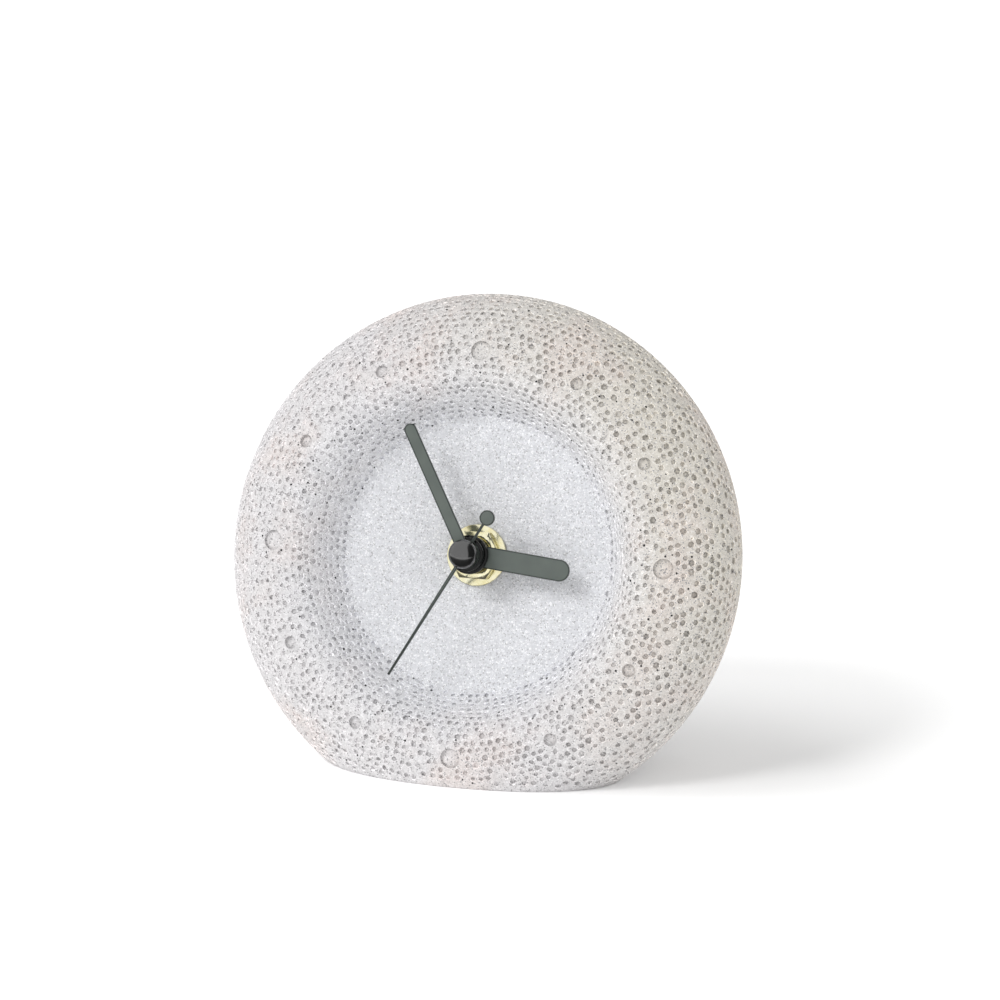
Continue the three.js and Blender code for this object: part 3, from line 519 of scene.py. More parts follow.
def use(tree, group, **inputs):
    """Places a shared group in a finish and returns its outputs. A _ stands for a space."""
    inputs = {name.replace("_", " "): value for name, value in inputs.items()}
    return add_node(tree, "ShaderNodeGroup", inputs, node_tree=group).outputs


print("group helpers ready")

# %% Sand, clouds and turning marks
sand, start, end = new_group("sand grains", ["Vector", "Size", "Dark share", "Pale share"],
                             ["Dark", "Pale", "Shade"])
cells = add_node(sand, "ShaderNodeTexVoronoi", {
    "Vector": sized(sand, start["Vector"], start["Size"]), "Scale": 1.0,
})
grain = add_node(sand, "ShaderNodeSeparateColor", {0: cells.outputs["Color"]}).outputs[0]
pale_from = calculate(sand, "SUBTRACT", 1.0, start["Pale share"])
sand.links.new(calculate(sand, "LESS_THAN", grain, start["Dark share"]), end["Dark"])
sand.links.new(calculate(sand, "GREATER_THAN", grain, pale_from), end["Pale"])
sand.links.new(grain, end["Shade"])

clouds, start, end = new_group("clouds", ["Vector", "Size", "Low", "High"], ["Amount"])
slow = add_node(clouds, "ShaderNodeTexNoise", {
    "Vector": sized(clouds, start["Vector"], start["Size"]), "Scale": 1.0, "Detail": 3.0,
    "Roughness": 0.55,
})
spread = between(clouds, slow.outputs[0], 0.32, 0.68, start["Low"], start["High"])
clouds.links.new(spread, end["Amount"])

rings, start, end = new_group("turning marks", ["Vector", "Pitch"], ["Height"])
turns = calculate(rings, "DIVIDE", axis_distance(rings, start["Vector"]), start["Pitch"])
wave = calculate(rings, "SINE", turns)
chatter = add_node(rings, "ShaderNodeTexNoise", {"Vector": start["Vector"], "Scale": 0.9})
rings.links.new(product(rings, wave, chatter.outputs[0]), end["Height"])


def cloudy(tree, place, size, low=0.0, high=1.0):
    """Slow noise between two values."""
    return use(tree, clouds, Vector=place, Size=size, Low=low, High=high)["Amount"]


print("groups:", [group.name for group in bpy.data.node_groups])

# %% [markdown]
# ## Concrete
#
# The casting is pale cement with fine sand in it. The ring is a pale grey that warms toward its
# upper right, and the dial, where the mould was smooth, is a little blue, with a fine salt and
# pepper of grains. One recipe makes three finishes: the skin, the hollows and the air bubbles. A
# hollow has a painted highlight on its lip and a grey floor of dust and painted shade. The bubbles
# are painted dark, as painted shade inside a deep hole. Colour could be painted on the mesh, but a
# pattern in the dial's millimetres needs no unwrapping and keeps its scale. Only the dust and
# painted shade in a hollow are stored, as an attribute of its corners.

# %% Coordinates and relief
def dial_millimetres(tree):
    """Object coordinates turned into the dial's own millimetres."""
    place = add_node(tree, "ShaderNodeTexCoord").outputs["Object"]
    return add_node(
        tree, "ShaderNodeMapping",
        {"Vector": place, "Location": DIAL_CENTRE, "Rotation": DIAL_TURN, "Scale": (MM, MM, MM)},
        vector_type="TEXTURE",
    ).outputs["Vector"]


def roughen(tree, shader, height, depth):
    """Bump of a depth in millimetres."""
    bump = add_node(tree, "ShaderNodeBump",
                    {"Height": height, "Distance": depth * MM, "Strength": 1.0})
    tree.links.new(bump.outputs["Normal"], shader.inputs["Normal"])


print("coordinates and relief ready")

# %% Concrete finishes
RING_TONE = tone(226, 224, 225)
WARM_TONE = tone(222, 217, 207)
ROSY_TONE = tone(230, 217, 211)
DIAL_TONE = tone(225, 226, 230)
DIAL_EDGE = (30.0, 46.0)
DIAL_FRONT = (-4.5, -3.5)
DARK_GRAIN = tone(172, 170, 171)
PALE_GRAIN = tone(250, 250, 252)
GRAIN_SIZE = 0.25
GRAIN_SHADES = (0.89, 1.09)
PALE_SHARE = 0.12
DARK_ON_DIAL_AND_RING = (0.6, 1.0)
PALE_ON_DIAL_AND_RING = (0.75, 0.3)
WARM_SIDE = (0.0, 58.0)
WARM_RISE = 0.5
WARM_MOST = 0.95
# Below LEVEL a hollow's lip is lightened, a painted highlight; above it the floor darkens with dust
# and painted shade.
LEVEL = 0.35
LIP_PAINTED_HIGHLIGHT = 1.60
HOLLOW_SHADE = 0.58
SKIN_RELIEF = 0.06
ROSY_CLOUDS = (15.0, -0.35, 0.45)
PATCHES = (1.3, 0.91, 1.06)
FINE_CLOUDS = (0.6, 0.0, 2.2)
LUMPS = (1.5, 0.0, 3.6)


def concrete(name, shade_of_skin, dark_grains, hollow=False):
    """Cement and sand. In a hollow, a painted highlight on the lip, then dust and painted shade."""
    material, tree, shader = new_finish(name, Roughness=0.92, Specular_IOR_Level=0.2)
    place = dial_millimetres(tree)
    parts = add_node(tree, "ShaderNodeSeparateXYZ", {0: place}).outputs
    on_dial = product(tree, between(tree, axis_distance(tree, place), *reversed(DIAL_EDGE)),
                      between(tree, parts["Z"], *DIAL_FRONT))
    on_ring = calculate(tree, "SUBTRACT", 1.0, on_dial)
    rise = product(tree, parts["Y"], WARM_RISE)
    warm = between(tree, calculate(tree, "ADD", parts["X"], rise), *WARM_SIDE, 0.0, WARM_MOST)
    warm = product(tree, warm, on_ring)
    rosy = cloudy(tree, place, *ROSY_CLOUDS)
    rosy = product(tree, calculate(tree, "MAXIMUM", rosy, 0.0), on_ring)
    colour = blend_colours(tree, DIAL_TONE, RING_TONE, on_ring)
    colour = blend_colours(tree, colour, WARM_TONE, warm)
    colour = blend_colours(tree, colour, ROSY_TONE, rosy)
    grains = use(tree, sand, Vector=place, Size=GRAIN_SIZE, Dark_share=dark_grains,
                 Pale_share=PALE_SHARE)
    for kind, grain_tone, shares in (("Dark", DARK_GRAIN, DARK_ON_DIAL_AND_RING),
                                     ("Pale", PALE_GRAIN, PALE_ON_DIAL_AND_RING)):
        shown = product(tree, grains[kind], between(tree, on_ring, 0, 1, *shares))
        colour = blend_colours(tree, colour, grain_tone, shown)
    mottle = between(tree, grains["Shade"], 0.0, 1.0, *GRAIN_SHADES)
    patch = cloudy(tree, place, *PATCHES)
    patch = product(tree, patch, mottle, shade_of_skin)
    # In a hollow: a painted highlight on the lip, then dust and painted shade toward the floor.
    if hollow:
        dust_and_shade = add_node(tree, "ShaderNodeAttribute", attribute_name="hollow").outputs["Fac"]
        patch = product(tree, patch, between(tree, dust_and_shade, 0.0, LEVEL, LIP_PAINTED_HIGHLIGHT, 1.0),
                        between(tree, dust_and_shade, LEVEL, 1.0, 1.0, HOLLOW_SHADE))
    colour = blend_colours(tree, colour, patch, 1.0, "MULTIPLY")
    tree.links.new(colour, shader.inputs["Base Color"])
    fine = cloudy(tree, place, *FINE_CLOUDS)
    lumps = cloudy(tree, place, *LUMPS)
    lumps = product(tree, lumps, on_ring)
    roughen(tree, shader, calculate(tree, "ADD", fine, lumps), SKIN_RELIEF)
    return material


concrete_skin = concrete("concrete_skin", 1.0, 0.07)
concrete_pit = concrete("concrete_pit", 1.0, 0.10, hollow=True)
# The air bubbles are painted dark: painted shade inside a deep hole.
concrete_bubble = concrete("concrete_bubble", 0.15, 0.35)
CONCRETE = [concrete_skin, concrete_pit, concrete_bubble]
print("concrete finishes:", [material.name for material in CONCRETE])

# %% [markdown]
# ## The casting
#
# The real ring is poured into a mould. It is round about the axis of the hands, apart from its
# flat foot, so half of its section is drawn beside that axis and spun. The section goes up from
# the flat back round the widest place to the crest, and down into the dish of the dial. The desk
# then trims the foot with one straight cut.

# %% Spin the section and trim the foot
case_low, case_high = dial_box("concrete_case")
BODY_RADIUS = case_high.x
BACK_DEPTH = -case_low.z
CREST_HEIGHT = case_high.z
WIDEST_DEPTH = 5.9
CREST_RADIUS = 42.0
CREST_INNER_WIDTH = 8.0
DIAL_RADIUS = 30.0
BACK_RADIUS = 48.0
BACK_ROUNDNESS = 1.4
BACK_SPACING = 1.2
BORE_RADIUS = 4.3
BODY_SIDES = 160
SECTION_STEPS = 13
CASTING_EDGE = 0.6


def skin_section(steps):
    """Corners (radius, height) of the outer skin, from the flat back to the edge of the dial."""
    corners = []
    for step in range(steps + 1):
        depth = max(0.0, math.cos(math.pi / 2 * step / steps)) ** BACK_SPACING
        swell = (1 - depth ** BACK_ROUNDNESS) ** (1 / BACK_ROUNDNESS)
        corners.append((BACK_RADIUS + (BODY_RADIUS - BACK_RADIUS) * swell,
                        -WIDEST_DEPTH - (BACK_DEPTH - WIDEST_DEPTH) * depth))
    for step in range(1, steps + 1):
        angle = math.pi / 2 * step / steps
        corners.append((CREST_RADIUS + (BODY_RADIUS - CREST_RADIUS) * math.cos(angle),
                        -WIDEST_DEPTH + (CREST_HEIGHT + WIDEST_DEPTH) * math.sin(angle)))
    dish = CREST_RADIUS - DIAL_RADIUS
    drop = CREST_HEIGHT * CREST_INNER_WIDTH / dish
    for step in range(1, steps + 1):
        share = step / steps
        corners.append((CREST_RADIUS - CREST_INNER_WIDTH * share,
                        CREST_HEIGHT - drop * share ** 2))
    for step in range(steps // 2 - 1, -1, -1):
        share = 2 * step / steps
        corners.append((DIAL_RADIUS + (dish - CREST_INNER_WIDTH) * share,
                        (CREST_HEIGHT - drop) * share ** 2))
    return corners


section = [(BORE_RADIUS, -BACK_DEPTH), *skin_section(SECTION_STEPS), (BORE_RADIUS, 0.0)]
casting = turned("concrete_casting", section, BODY_SIDES)
edit(casting)
bpy.ops.mesh.bisect(plane_co=-DIAL_HEIGHT * DESK_UP, plane_no=DESK_UP, use_fill=True,
                    clear_inner=True)
activate(casting)
for material in CONCRETE:
    casting.data.materials.append(material)
round_edges(casting, CASTING_EDGE, angle=35)
print(f"casting: {len(casting.data.polygons)} faces before its hollows")

# %% [markdown]
# ## Pocket for the movement
#
# A block in the mould leaves a square pocket at the back, a little larger than the movement. Its
# cutter is a cube with rounded corners. The rear face is pushed out and widened, so that the
# pocket's mouth gets the small chamfer that lets the block come out of the mould.

# %% Cut the pocket
POCKET_GAP = 0.8
POCKET_CORNER = 4.0
POCKET_FLOOR = -5.0
MOUTH_CHAMFER = 0.9
MOUTH_PUSH = 1.1 * MOUTH_CHAMFER

shell_low, shell_high = dial_box("movement_shell")
pocket = box(
    "pocket_cutter",
    (shell_low.x - POCKET_GAP, shell_low.y - POCKET_GAP, MOUTH_CHAMFER - BACK_DEPTH),
    (shell_high.x + POCKET_GAP, shell_high.y + POCKET_GAP, POCKET_FLOOR),
)
round_corners(pocket, POCKET_CORNER, 6)
edit(pocket)
choose_facing(pocket, 0, 0, -1)
widen = 1 + 2 * MOUTH_CHAMFER / (shell_high.x - shell_low.x)
push(0, 0, -MOUTH_PUSH)
bpy.ops.transform.resize(value=(widen, widen, 1))
activate(pocket)
combine(casting, pocket)
print(f"pocket {shell_high.x - shell_low.x + 2 * POCKET_GAP:.1f} mm wide")

# %% [markdown]
# ## Hour craters
#
# The hours are marked by craters on the crest: broad and flat ones at three, six, nine and
# twelve, and small bowls between. Each cutter is modelled upright at the origin, which is easy,
# and then stood on the skin, along the skin's own normal.

# %% Places on the skin
FINE_STEPS = 60
PROBE = 0.2
fine_skin = np.array(skin_section(FINE_STEPS))
fine_steps = np.hypot(*np.diff(fine_skin, axis=0).T)
skin_length = np.concatenate(([0.0], np.cumsum(fine_steps)))


def section_at(length):
    """The skin's radius and height, by the way along its section."""
    return np.array([np.interp(length, skin_length, fine_skin[:, i]) for i in (0, 1)])


def on_skin(length, angle):
    """A point of the skin and its normal, by the way along the section and the angle round it."""
    radius, height = section_at(length)
    run, rise = section_at(length + PROBE) - section_at(length - PROBE)
    turn = Vector((math.cos(angle), math.sin(angle), 0))
    normal = (turn * rise - Vector((0, 0, run))).normalized()
    return turn * radius + Vector((0, 0, height)), normal


def standing(place, normal):
    """The matrix that stands a cutter on the skin."""
    return Matrix.Translation(place) @ normal.to_track_quat("Z", "Y").to_matrix().to_4x4()


print(f"the skin's section is {skin_length[-1]:.1f} mm long")

# %% Cut the craters
CRATER_RING = 46.0
FLAT_CRATER = {"rim": 2.3, "depth": 0.85, "rounding": 0.10, "floor": LEVEL}
BOWL_CRATER = {"rim": 1.5, "depth": 0.85, "rounding": 0.30, "floor": 0.40}
# The crater wall takes dust and painted shade, and its rim, like a pit's lip, a painted highlight.
CRATER_WALL_DUST_AND_SHADE = 0.70
CRATER_FLOOR = 0.72
CRATER_SIDES = 32
CUTTER_TOP = 2.0
front_half = len(fine_skin) // 3
crater_length = np.interp(-CRATER_RING, -fine_skin[front_half:, 0], skin_length[front_half:])
craters = []


def carry_finish(mesh, index, hollows):
    """Gives a cutter the finish, and the dust and painted shade at its corners, that it leaves in a
    cut.
    """
    for material in CONCRETE:
        mesh.materials.append(material)
    mesh.polygons.foreach_set("material_index", [index] * len(mesh.polygons))
    mesh.attributes.new("hollow", "FLOAT", "POINT").data.foreach_set("value", hollows)


def crater_cutter(name, shape):
    """A round cutter with a rounded foot. Dust and painted shade are darkest where wall meets
    floor.
    """
    piece = drum(name, shape["rim"], -shape["depth"], CUTTER_TOP, sides=CRATER_SIDES)
    edit(piece)
    choose_facing(piece, 0, 0, -1)
    bpy.ops.mesh.bevel(offset=shape["rounding"], segments=3, affect="EDGES")
    choose_facing(piece, 0, 0, -1)
    bpy.ops.mesh.inset(thickness=0.01)
    bpy.ops.transform.resize(value=(CRATER_FLOOR, CRATER_FLOOR, 1))
    activate(piece)
    inner = (shape["rim"] - shape["rounding"]) * CRATER_FLOOR
    carry_finish(piece.data, 1, [
        shape["floor"] if corner.co.xy.length < inner + 0.01 else CRATER_WALL_DUST_AND_SHADE
        for corner in piece.data.vertices
    ])
    return piece


for hour in range(12):
    shape = BOWL_CRATER if hour % 3 else FLAT_CRATER
    cutter = crater_cutter(f"crater_{hour}", shape)
    place, normal = on_skin(crater_length, math.radians(90 - 30 * hour))
    cutter.matrix_world = standing(place, normal)
    settle(cutter)
    combine(casting, cutter)
    craters.append((place, shape["rim"]))
print(f"{len(craters)} craters on a ring of {CRATER_RING} mm")

# %% [markdown]
# ## Pits
#
# The mould's face is covered with small pegs, which leave thousands of shallow pits. They lie in
# rows, each row shifted half a step from the last, with some wandering and some missing, and they
# thin out toward the back. Patches of the ring, and its right side, have wider pits, with more dust
# and painted shade in them.
# A bump texture would vanish at the silhouette, so the pits are cut. One cutter is modelled, and
# its corners are stamped at every place into a single mesh: one Boolean then does the work of
# four thousand.

# %% Places of the pits
PIT_PITCH = 1.92
PIT_SPREAD = 0.12
PIT_WANDER = 0.10
PIT_RADII = (0.64, 0.88)
PIT_STEEPNESS = (0.60, 1.00)
PIT_DUST_AND_SHADE = (0.42, 0.88)
PIT_SKIP = 0.05
PIT_FADE = 24.0
PIT_FOOT_MARGIN = 1.3
CRATER_MARGIN = 0.35
ROWS_START = 2.5
ROWS_STOP = skin_length[-1] - 1.9
PATCH_SIZE = 9
PATCH_SHARE = 0.5
SIDE_GAIN = 0.12
INSIDE_LOSS = 0.15
draw = random.Random(11)


def clear_of_marks(place, radius):
    """True where a pit stays clear of the foot and of the craters."""
    if place.dot(DESK_UP) < PIT_FOOT_MARGIN - DIAL_HEIGHT:
        return False
    return all((place - spot).length > rim + radius + CRATER_MARGIN for spot, rim in craters)


wanted = []
row = 0
length = ROWS_START
while length < ROWS_STOP:
    count = int(2 * math.pi * section_at(length)[0] / PIT_PITCH)
    for i in range(count):
        along = length + draw.gauss(0, PIT_SPREAD)
        turn = 2 * math.pi * (i + 0.5 * (row % 2) + draw.gauss(0, PIT_WANDER)) / count
        place, normal = on_skin(along, turn)
        side = place.x / BODY_RADIUS + PATCH_SHARE * noise.noise(place / PATCH_SIZE)
        inside = max(0.0, (along - crater_length) / (skin_length[-1] - crater_length))
        radius = draw.uniform(*PIT_RADII) * (1 + SIDE_GAIN * side) * (1 - INSIDE_LOSS * inside)
        steepness = draw.uniform(*PIT_STEEPNESS)
        # How dark this pit's floor is painted with dust and painted shade, more on the ring's right
        # side.
        dust_and_shade = draw.uniform(*PIT_DUST_AND_SHADE) + SIDE_GAIN * side
        missing = draw.random() < PIT_SKIP * (1 - side) + max(0.0, 1 - along / PIT_FADE)
        if not missing and clear_of_marks(place, radius):
            wanted.append((place, normal, radius, steepness, dust_and_shade))
    row += 1
    length += PIT_PITCH * math.sqrt(3) / 2

print(f"{len(wanted)} pits wanted")

# %% Drop the pits that would touch another
PIT_RIM = 0.04
PIT_SEARCH = 2 * PIT_RADII[1] + 0.6
tree_of_pits = KDTree(len(wanted))
for i, pit in enumerate(wanted):
    tree_of_pits.insert(pit[0], i)
tree_of_pits.balance()
dropped = set()
for i, (place, _, radius, _, _) in enumerate(wanted):
    if i in dropped:
        continue
    for _, j, distance in tree_of_pits.find_range(place, PIT_SEARCH):
        if j != i and distance < radius + wanted[j][2] + PIT_RIM:
            dropped.add(j)
pits = [pit for i, pit in enumerate(wanted) if i not in dropped]
print(f"{len(pits)} pits in {row} rows")

# %% [markdown]
# A pit has a steep wall, whose lip carries a painted highlight, and a nearly flat floor. Its cutter
# is a flat cone for the floor, whose base is pushed up twice: once wider, for the wall, and once
# straight, to stand just clear of the skin. So neighbouring cutters never touch, and that matters,
# because the fast Boolean solver refuses cutters that overlap. Dust and painted shade are darkest
# at the foot of the wall. How much lies at each corner is carried over as an attribute. Small pits
# and air bubbles are simpler cones, scattered at random.

# %% Cut the pits
CUTTER_RISE = 0.12
PIT_SIDES = 6
# Each row: radius, depth, and dust and painted shade. The rim's 0 is the lip's painted highlight.
PIT_PROFILE = [(0.0, 1.0, 0.5), (0.74, 0.86, 1.0), (1.0, 0.0, 0.0)]
PIT_STRETCH = (0.80, 1.0)


def pit_cutter(name, sides, profile):
    """A cutter 1 deep and 1 wide at the skin. A profile lists its radius, depth, and dust and
    painted shade.
    """
    (_, tip, _), (reach, depth, _) = profile[:2]
    piece = primitive(bpy.ops.mesh.primitive_cone_add, name, vertices=sides, radius1=0,
                      radius2=reach, depth=tip - depth, location=(0, 0, -(tip + depth) / 2))
    edit(piece)
    choose_facing(piece, 0, 0, 1)
    for (inner, below, _), (outer, above, _) in zip(profile[1:], profile[2:]):
        push(0, 0, below - above)
        bpy.ops.transform.resize(value=(outer / inner, outer / inner, 1))
    push(0, 0, CUTTER_RISE)
    bpy.ops.mesh.select_all(action="SELECT")
    bpy.ops.mesh.normals_make_consistent(inside=False)
    activate(piece)
    _, depths, dust_and_shade_values = zip(*reversed(profile))
    piece["dust_and_shade"] = [float(np.interp(-corner.co.z, depths, dust_and_shade_values))
                     for corner in piece.data.vertices]
    return piece


def stamp(master, stands, material_index):
    """One cutter mesh with a copy of the master's corners at each stand."""
    corners = np.array([corner.co for corner in master.data.vertices])
    faces = [list(face.vertices) for face in master.data.polygons]
    all_corners, all_faces, hollows = [], [], []
    for place, normal, radius, steepness, dust_and_shade in stands:
        turn = normal.to_track_quat("Z", "Y").to_matrix()
        turn = np.array(turn @ Matrix.Rotation(draw.uniform(0, math.pi), 3, "Z"))
        stretch = draw.uniform(*PIT_STRETCH)
        shaped = corners * (radius, radius * stretch, radius * steepness)
        first = len(all_corners)
        all_corners.extend((shaped @ turn.T + np.array(place)).tolist())
        all_faces.extend([first + corner for corner in face] for face in faces)
        hollows.extend(share * dust_and_shade for share in master["dust_and_shade"])
    mesh = bpy.data.meshes.new(master.name + "_rows")
    mesh.from_pydata(all_corners, [], all_faces)
    carry_finish(mesh, material_index, hollows)
    bpy.data.objects.remove(master)
    return add_object(mesh.name, mesh)


casting.data.attributes.new("hollow", "FLOAT", "POINT")
combine(casting, stamp(pit_cutter("pit_cutter", PIT_SIDES, PIT_PROFILE), pits, 1))
print(f"casting: {len(casting.data.polygons)} faces with its pits")

# %% Cut the small pits and air bubbles
SMALL_SIDES = 5
SMALL_PROFILE = [(0.0, 1.0, 1.0), (1.0, 0.0, 0.0)]
SMALL_PITS = {"count": 1500, "radii": (0.25, 0.46), "steepness": (0.7, 1.1), "dust_and_shade": (0.5, 1.0),
              "gap": 0.95}
BUBBLES = {"count": 620, "radii": (0.18, 0.35), "steepness": (1.2, 2.0), "dust_and_shade": (1.0, 1.0),
           "gap": 1.0}
SCATTER_START = 3
SCATTER_STOP = skin_length[-1] - 1


def scatter(count, radii, steepness, dust_and_shade, gap):
    """Random stands on the skin, none of them closer together than a gap."""
    stands, taken = [], {}
    while len(stands) < count:
        length = draw.uniform(SCATTER_START, SCATTER_STOP)
        around = section_at(length)[0] / BODY_RADIUS
        place, normal = on_skin(length, draw.uniform(0, 2 * math.pi))
        key = tuple(math.floor(part / gap) for part in place)
        beside = [taken.get((key[0] + i, key[1] + j, key[2] + k))
                  for i in (-1, 0, 1) for j in (-1, 0, 1) for k in (-1, 0, 1)]
        crowded = any(other and (other - place).length < gap for other in beside)
        if draw.random() < around and not crowded and clear_of_marks(place, 0):
            taken[key] = place
            stands.append((place, normal, draw.uniform(*radii), draw.uniform(*steepness),
                           draw.uniform(*dust_and_shade)))
    return stands


# Finish 2 is the bubbles' painted shade.
for name, field, finish in (("small_pit_cutter", SMALL_PITS, 1), ("bubble_cutter", BUBBLES, 2)):
    stands = scatter(**field)
    combine(casting, stamp(pit_cutter(name, SMALL_SIDES, SMALL_PROFILE), stands, finish))
casting.data.calc_loop_triangles()
print(f"casting: {len(casting.data.loop_triangles)} triangles")

# %% [markdown]
# A pit has a crisp rim and a worn hollow. Smooth shading would round both, so the rims are marked
# sharp: the faces of the hollows are chosen by their finish, and the edge round each patch of
# them is its rim.

# %% Shade the casting and hand it over
shade(casting, 40)
edit(casting)
choose(casting, "faces", lambda face: face.material_index > 0)
bpy.ops.mesh.region_to_loop()
bpy.ops.mesh.mark_sharp()
activate(casting)
fit_piece(casting, "case", "concrete", None, "concrete_case")

# %% [markdown]
# ## Brass
#
# The fixing is plain turned brass with a bright finish. Metal shows what stands round it, so most
# of the finish is in its roughness: polished, with faint rings from the lathe and a few duller
# clouds where hands have touched it. A colour and a roughness that drift between two values make
# most of the later finishes too, so the recipe is a function.

# %% Brass finish
def drifting(name, first, second, roughness, size=6.0, **values):
    """A finish whose colour and roughness drift between two values."""
    material, tree, shader = new_finish(name, **values)
    drift = cloudy(tree, dial_millimetres(tree), size)
    colour = blend_colours(tree, tone(*first), tone(*second), drift)
    tree.links.new(colour, shader.inputs["Base Color"])
    tree.links.new(between(tree, drift, 0.0, 1.0, *roughness), shader.inputs["Roughness"])
    return material, tree, shader


brass, tree, shader = drifting("turned_brass", (247, 243, 214), (240, 231, 184), (0.12, 0.20), 2.4,
                               Metallic=1.0)
lathe = use(tree, rings, Vector=dial_millimetres(tree), Pitch=0.05)["Height"]
roughen(tree, shader, lathe, 0.0012)
print("brass finish ready")

# %% [markdown]
# ## Brass fixing: bush, washer and nut
#
# A threaded bush comes up through the dial, and a nut on a washer draws the movement against the
# back of it. The thread is a real helix. One tooth is drawn, the Screw modifier winds it up, and
# two cuts square off the ends, which also closes them. Rings one above the other would be easier
# but wouldn't be a thread.

# %% Threaded bush
bush_low, bush_high = dial_box("threaded_bush")
BUSH_RADIUS = 3.9
BUSH_BORE = 2.8
BUSH_FLANGE = (5.4, 0.6)
THREAD_PITCH = 0.6
THREAD_DEPTH = 0.33
THREAD_TURNS = 23
THREAD_STEPS = 36
THREAD_FORM = [(1, 0.0), (0, 0.42), (0, 0.54), (1, 0.96), (1, 1.0)]
FIT_GAP = 0.25
flange_back = shell_high.z + FIT_GAP


def half_space(piece, level, keep_below):
    """Cuts a piece square across the dial's axis and closes it."""
    edit(piece)
    bpy.ops.mesh.bisect(plane_co=(0, 0, level), plane_no=(0, 0, 1), use_fill=True,
                        clear_outer=keep_below, clear_inner=not keep_below)
    activate(piece)


thread_foot = bush_low.z - THREAD_PITCH
bush = traced("brass_bush", [(BUSH_RADIUS - depth * THREAD_DEPTH, thread_foot + up * THREAD_PITCH)
                             for depth, up in THREAD_FORM])
apply_modifier(bush, "SCREW", axis="Z", angle=2 * math.pi, screw_offset=THREAD_PITCH,
               iterations=THREAD_TURNS, steps=THREAD_STEPS, render_steps=THREAD_STEPS,
               use_merge_vertices=True, merge_threshold=0.002)
edit(bush)
bpy.ops.mesh.remove_doubles(threshold=0.002)
half_space(bush, bush_high.z, True)
half_space(bush, bush_low.z, False)
edit(bush)
bpy.ops.mesh.normals_make_consistent(inside=False)
activate(bush)
combine(bush, drum("flange", BUSH_FLANGE[0], flange_back, flange_back + BUSH_FLANGE[1]), "UNION")
combine(bush, drum("bore", BUSH_BORE, bush_low.z - 1, bush_high.z + 1))
fit_piece(bush, "case", "brass", brass, "threaded_bush", angle=25)

# %% [markdown]
# The washer is stamped from sheet, so its upper edge is rounded by the punch. It is one spun
# section with a rounded rim. The nut starts as a six-sided cylinder. A turned body with sloping
# shoulders trims its corners, which is how a lathe chamfers a real nut, and gives the curved
# edges on its flats.

# %% Washer and nut
washer_low, washer_high = dial_box("brass_washer")
nut_low, nut_high = dial_box("hex_nut")
LATHE_STEPS = 96
NUT_CHAMFER = (0.15, 0.434)
NUT_EDGE = 0.10
RIM_ROUNDING = 0.16
HAIR = 0.02

washer = turned("brass_washer_plate", [
    (BUSH_RADIUS + FIT_GAP, washer_low.z), (washer_high.x, washer_low.z),
    (washer_high.x, washer_high.z), (BUSH_RADIUS + FIT_GAP, washer_high.z),
], LATHE_STEPS)
round_edges(washer, RIM_ROUNDING, 3)
fit_piece(washer, "case", "brass", brass, "brass_washer", angle=30)

nut_tip = max(dial_points("hex_nut"), key=lambda point: point.xy.length)
nut_corner = nut_tip.xy.length
nut = drum("brass_nut", nut_corner, nut_low.z, nut_high.z, sides=6)
nut.rotation_euler.z = math.atan2(nut_tip.y, nut_tip.x) - math.pi / 2
settle(nut)
flat_radius = nut_corner * math.cos(math.pi / 6)
combine(nut, turned("nut_trim", [
    (0.0, nut_low.z - 1), (nut_corner + HAIR, nut_low.z - 1),
    (nut_corner + HAIR, nut_high.z - NUT_CHAMFER[1]),
    (flat_radius - NUT_CHAMFER[0], nut_high.z + 0.001), (0.0, nut_high.z + 0.001),
], LATHE_STEPS), "INTERSECT")
combine(nut, drum("nut_bore", BUSH_RADIUS + FIT_GAP, nut_low.z - 1, nut_high.z + 1, sides=64))
round_edges(nut, NUT_EDGE, 2, 25)
fit_piece(nut, "case", "brass", brass, "hex_nut", angle=30)

# %% [markdown]
# ## Hand lacquer and black plastic
#
# The hands are thin metal under a satin lacquer, with the faintest orange peel. Their grey, a
# little green, is painted reflection of the white studio on a darker lacquer. A band of painted
# shade runs along their edges, where the sides of the plate turn away from the light. The collars
# and the cap on the second hand are moulded in black plastic, and glossy. A plain black would lose
# its form, so its roughness changes slowly over the surface. A higher index of refraction mirrors
# more, which suits the polished cap.

# %% Lacquer and gloss black
SATIN = {"roughness": (0.40, 0.52), "size": 5.0, "Specular_IOR_Level": 0.30}
ORANGE_PEEL = {"grain": 0.35, "depth": 0.004}
BLACKS = ((8, 9, 9), (13, 14, 14))


def grained(finish, grain, depth):
    """Adds a fine grain to a finish and returns its material."""
    material, tree, shader = finish
    roughen(tree, shader, cloudy(tree, dial_millimetres(tree), grain), depth)
    return material


# The lacquer's grey is a painted reflection of the white studio.
lacquer_and_painted_reflection = grained(drifting("hand_lacquer", (93, 100, 96), (101, 108, 103), **SATIN), **ORANGE_PEEL)
# A band of painted shade for the hands' edges and sides.
painted_edge_shade = grained(drifting("stamped_edge", (58, 63, 60), (66, 71, 68), **SATIN), **ORANGE_PEEL)
gloss_black = drifting("gloss_black", *BLACKS, (0.10, 0.18), 1.6, IOR=1.36)[0]
polished_black = drifting("polished_black", *BLACKS, (0.12, 0.18), 1.6, IOR=2.15)[0]
print("lacquer and gloss black ready")

# %% [markdown]
# ## Hour and minute hands
#
# Each hand is a flat stamping with a round eye. It is modelled pointing at twelve: a block for
# the arm, its two far edges bevelled until they meet in a half circle, a disc joined on for the
# eye, and the eye's hole cut through. The turn comes last, from the tip of the solid.

# %% Hour and minute hands
HAND_EDGE = 0.09
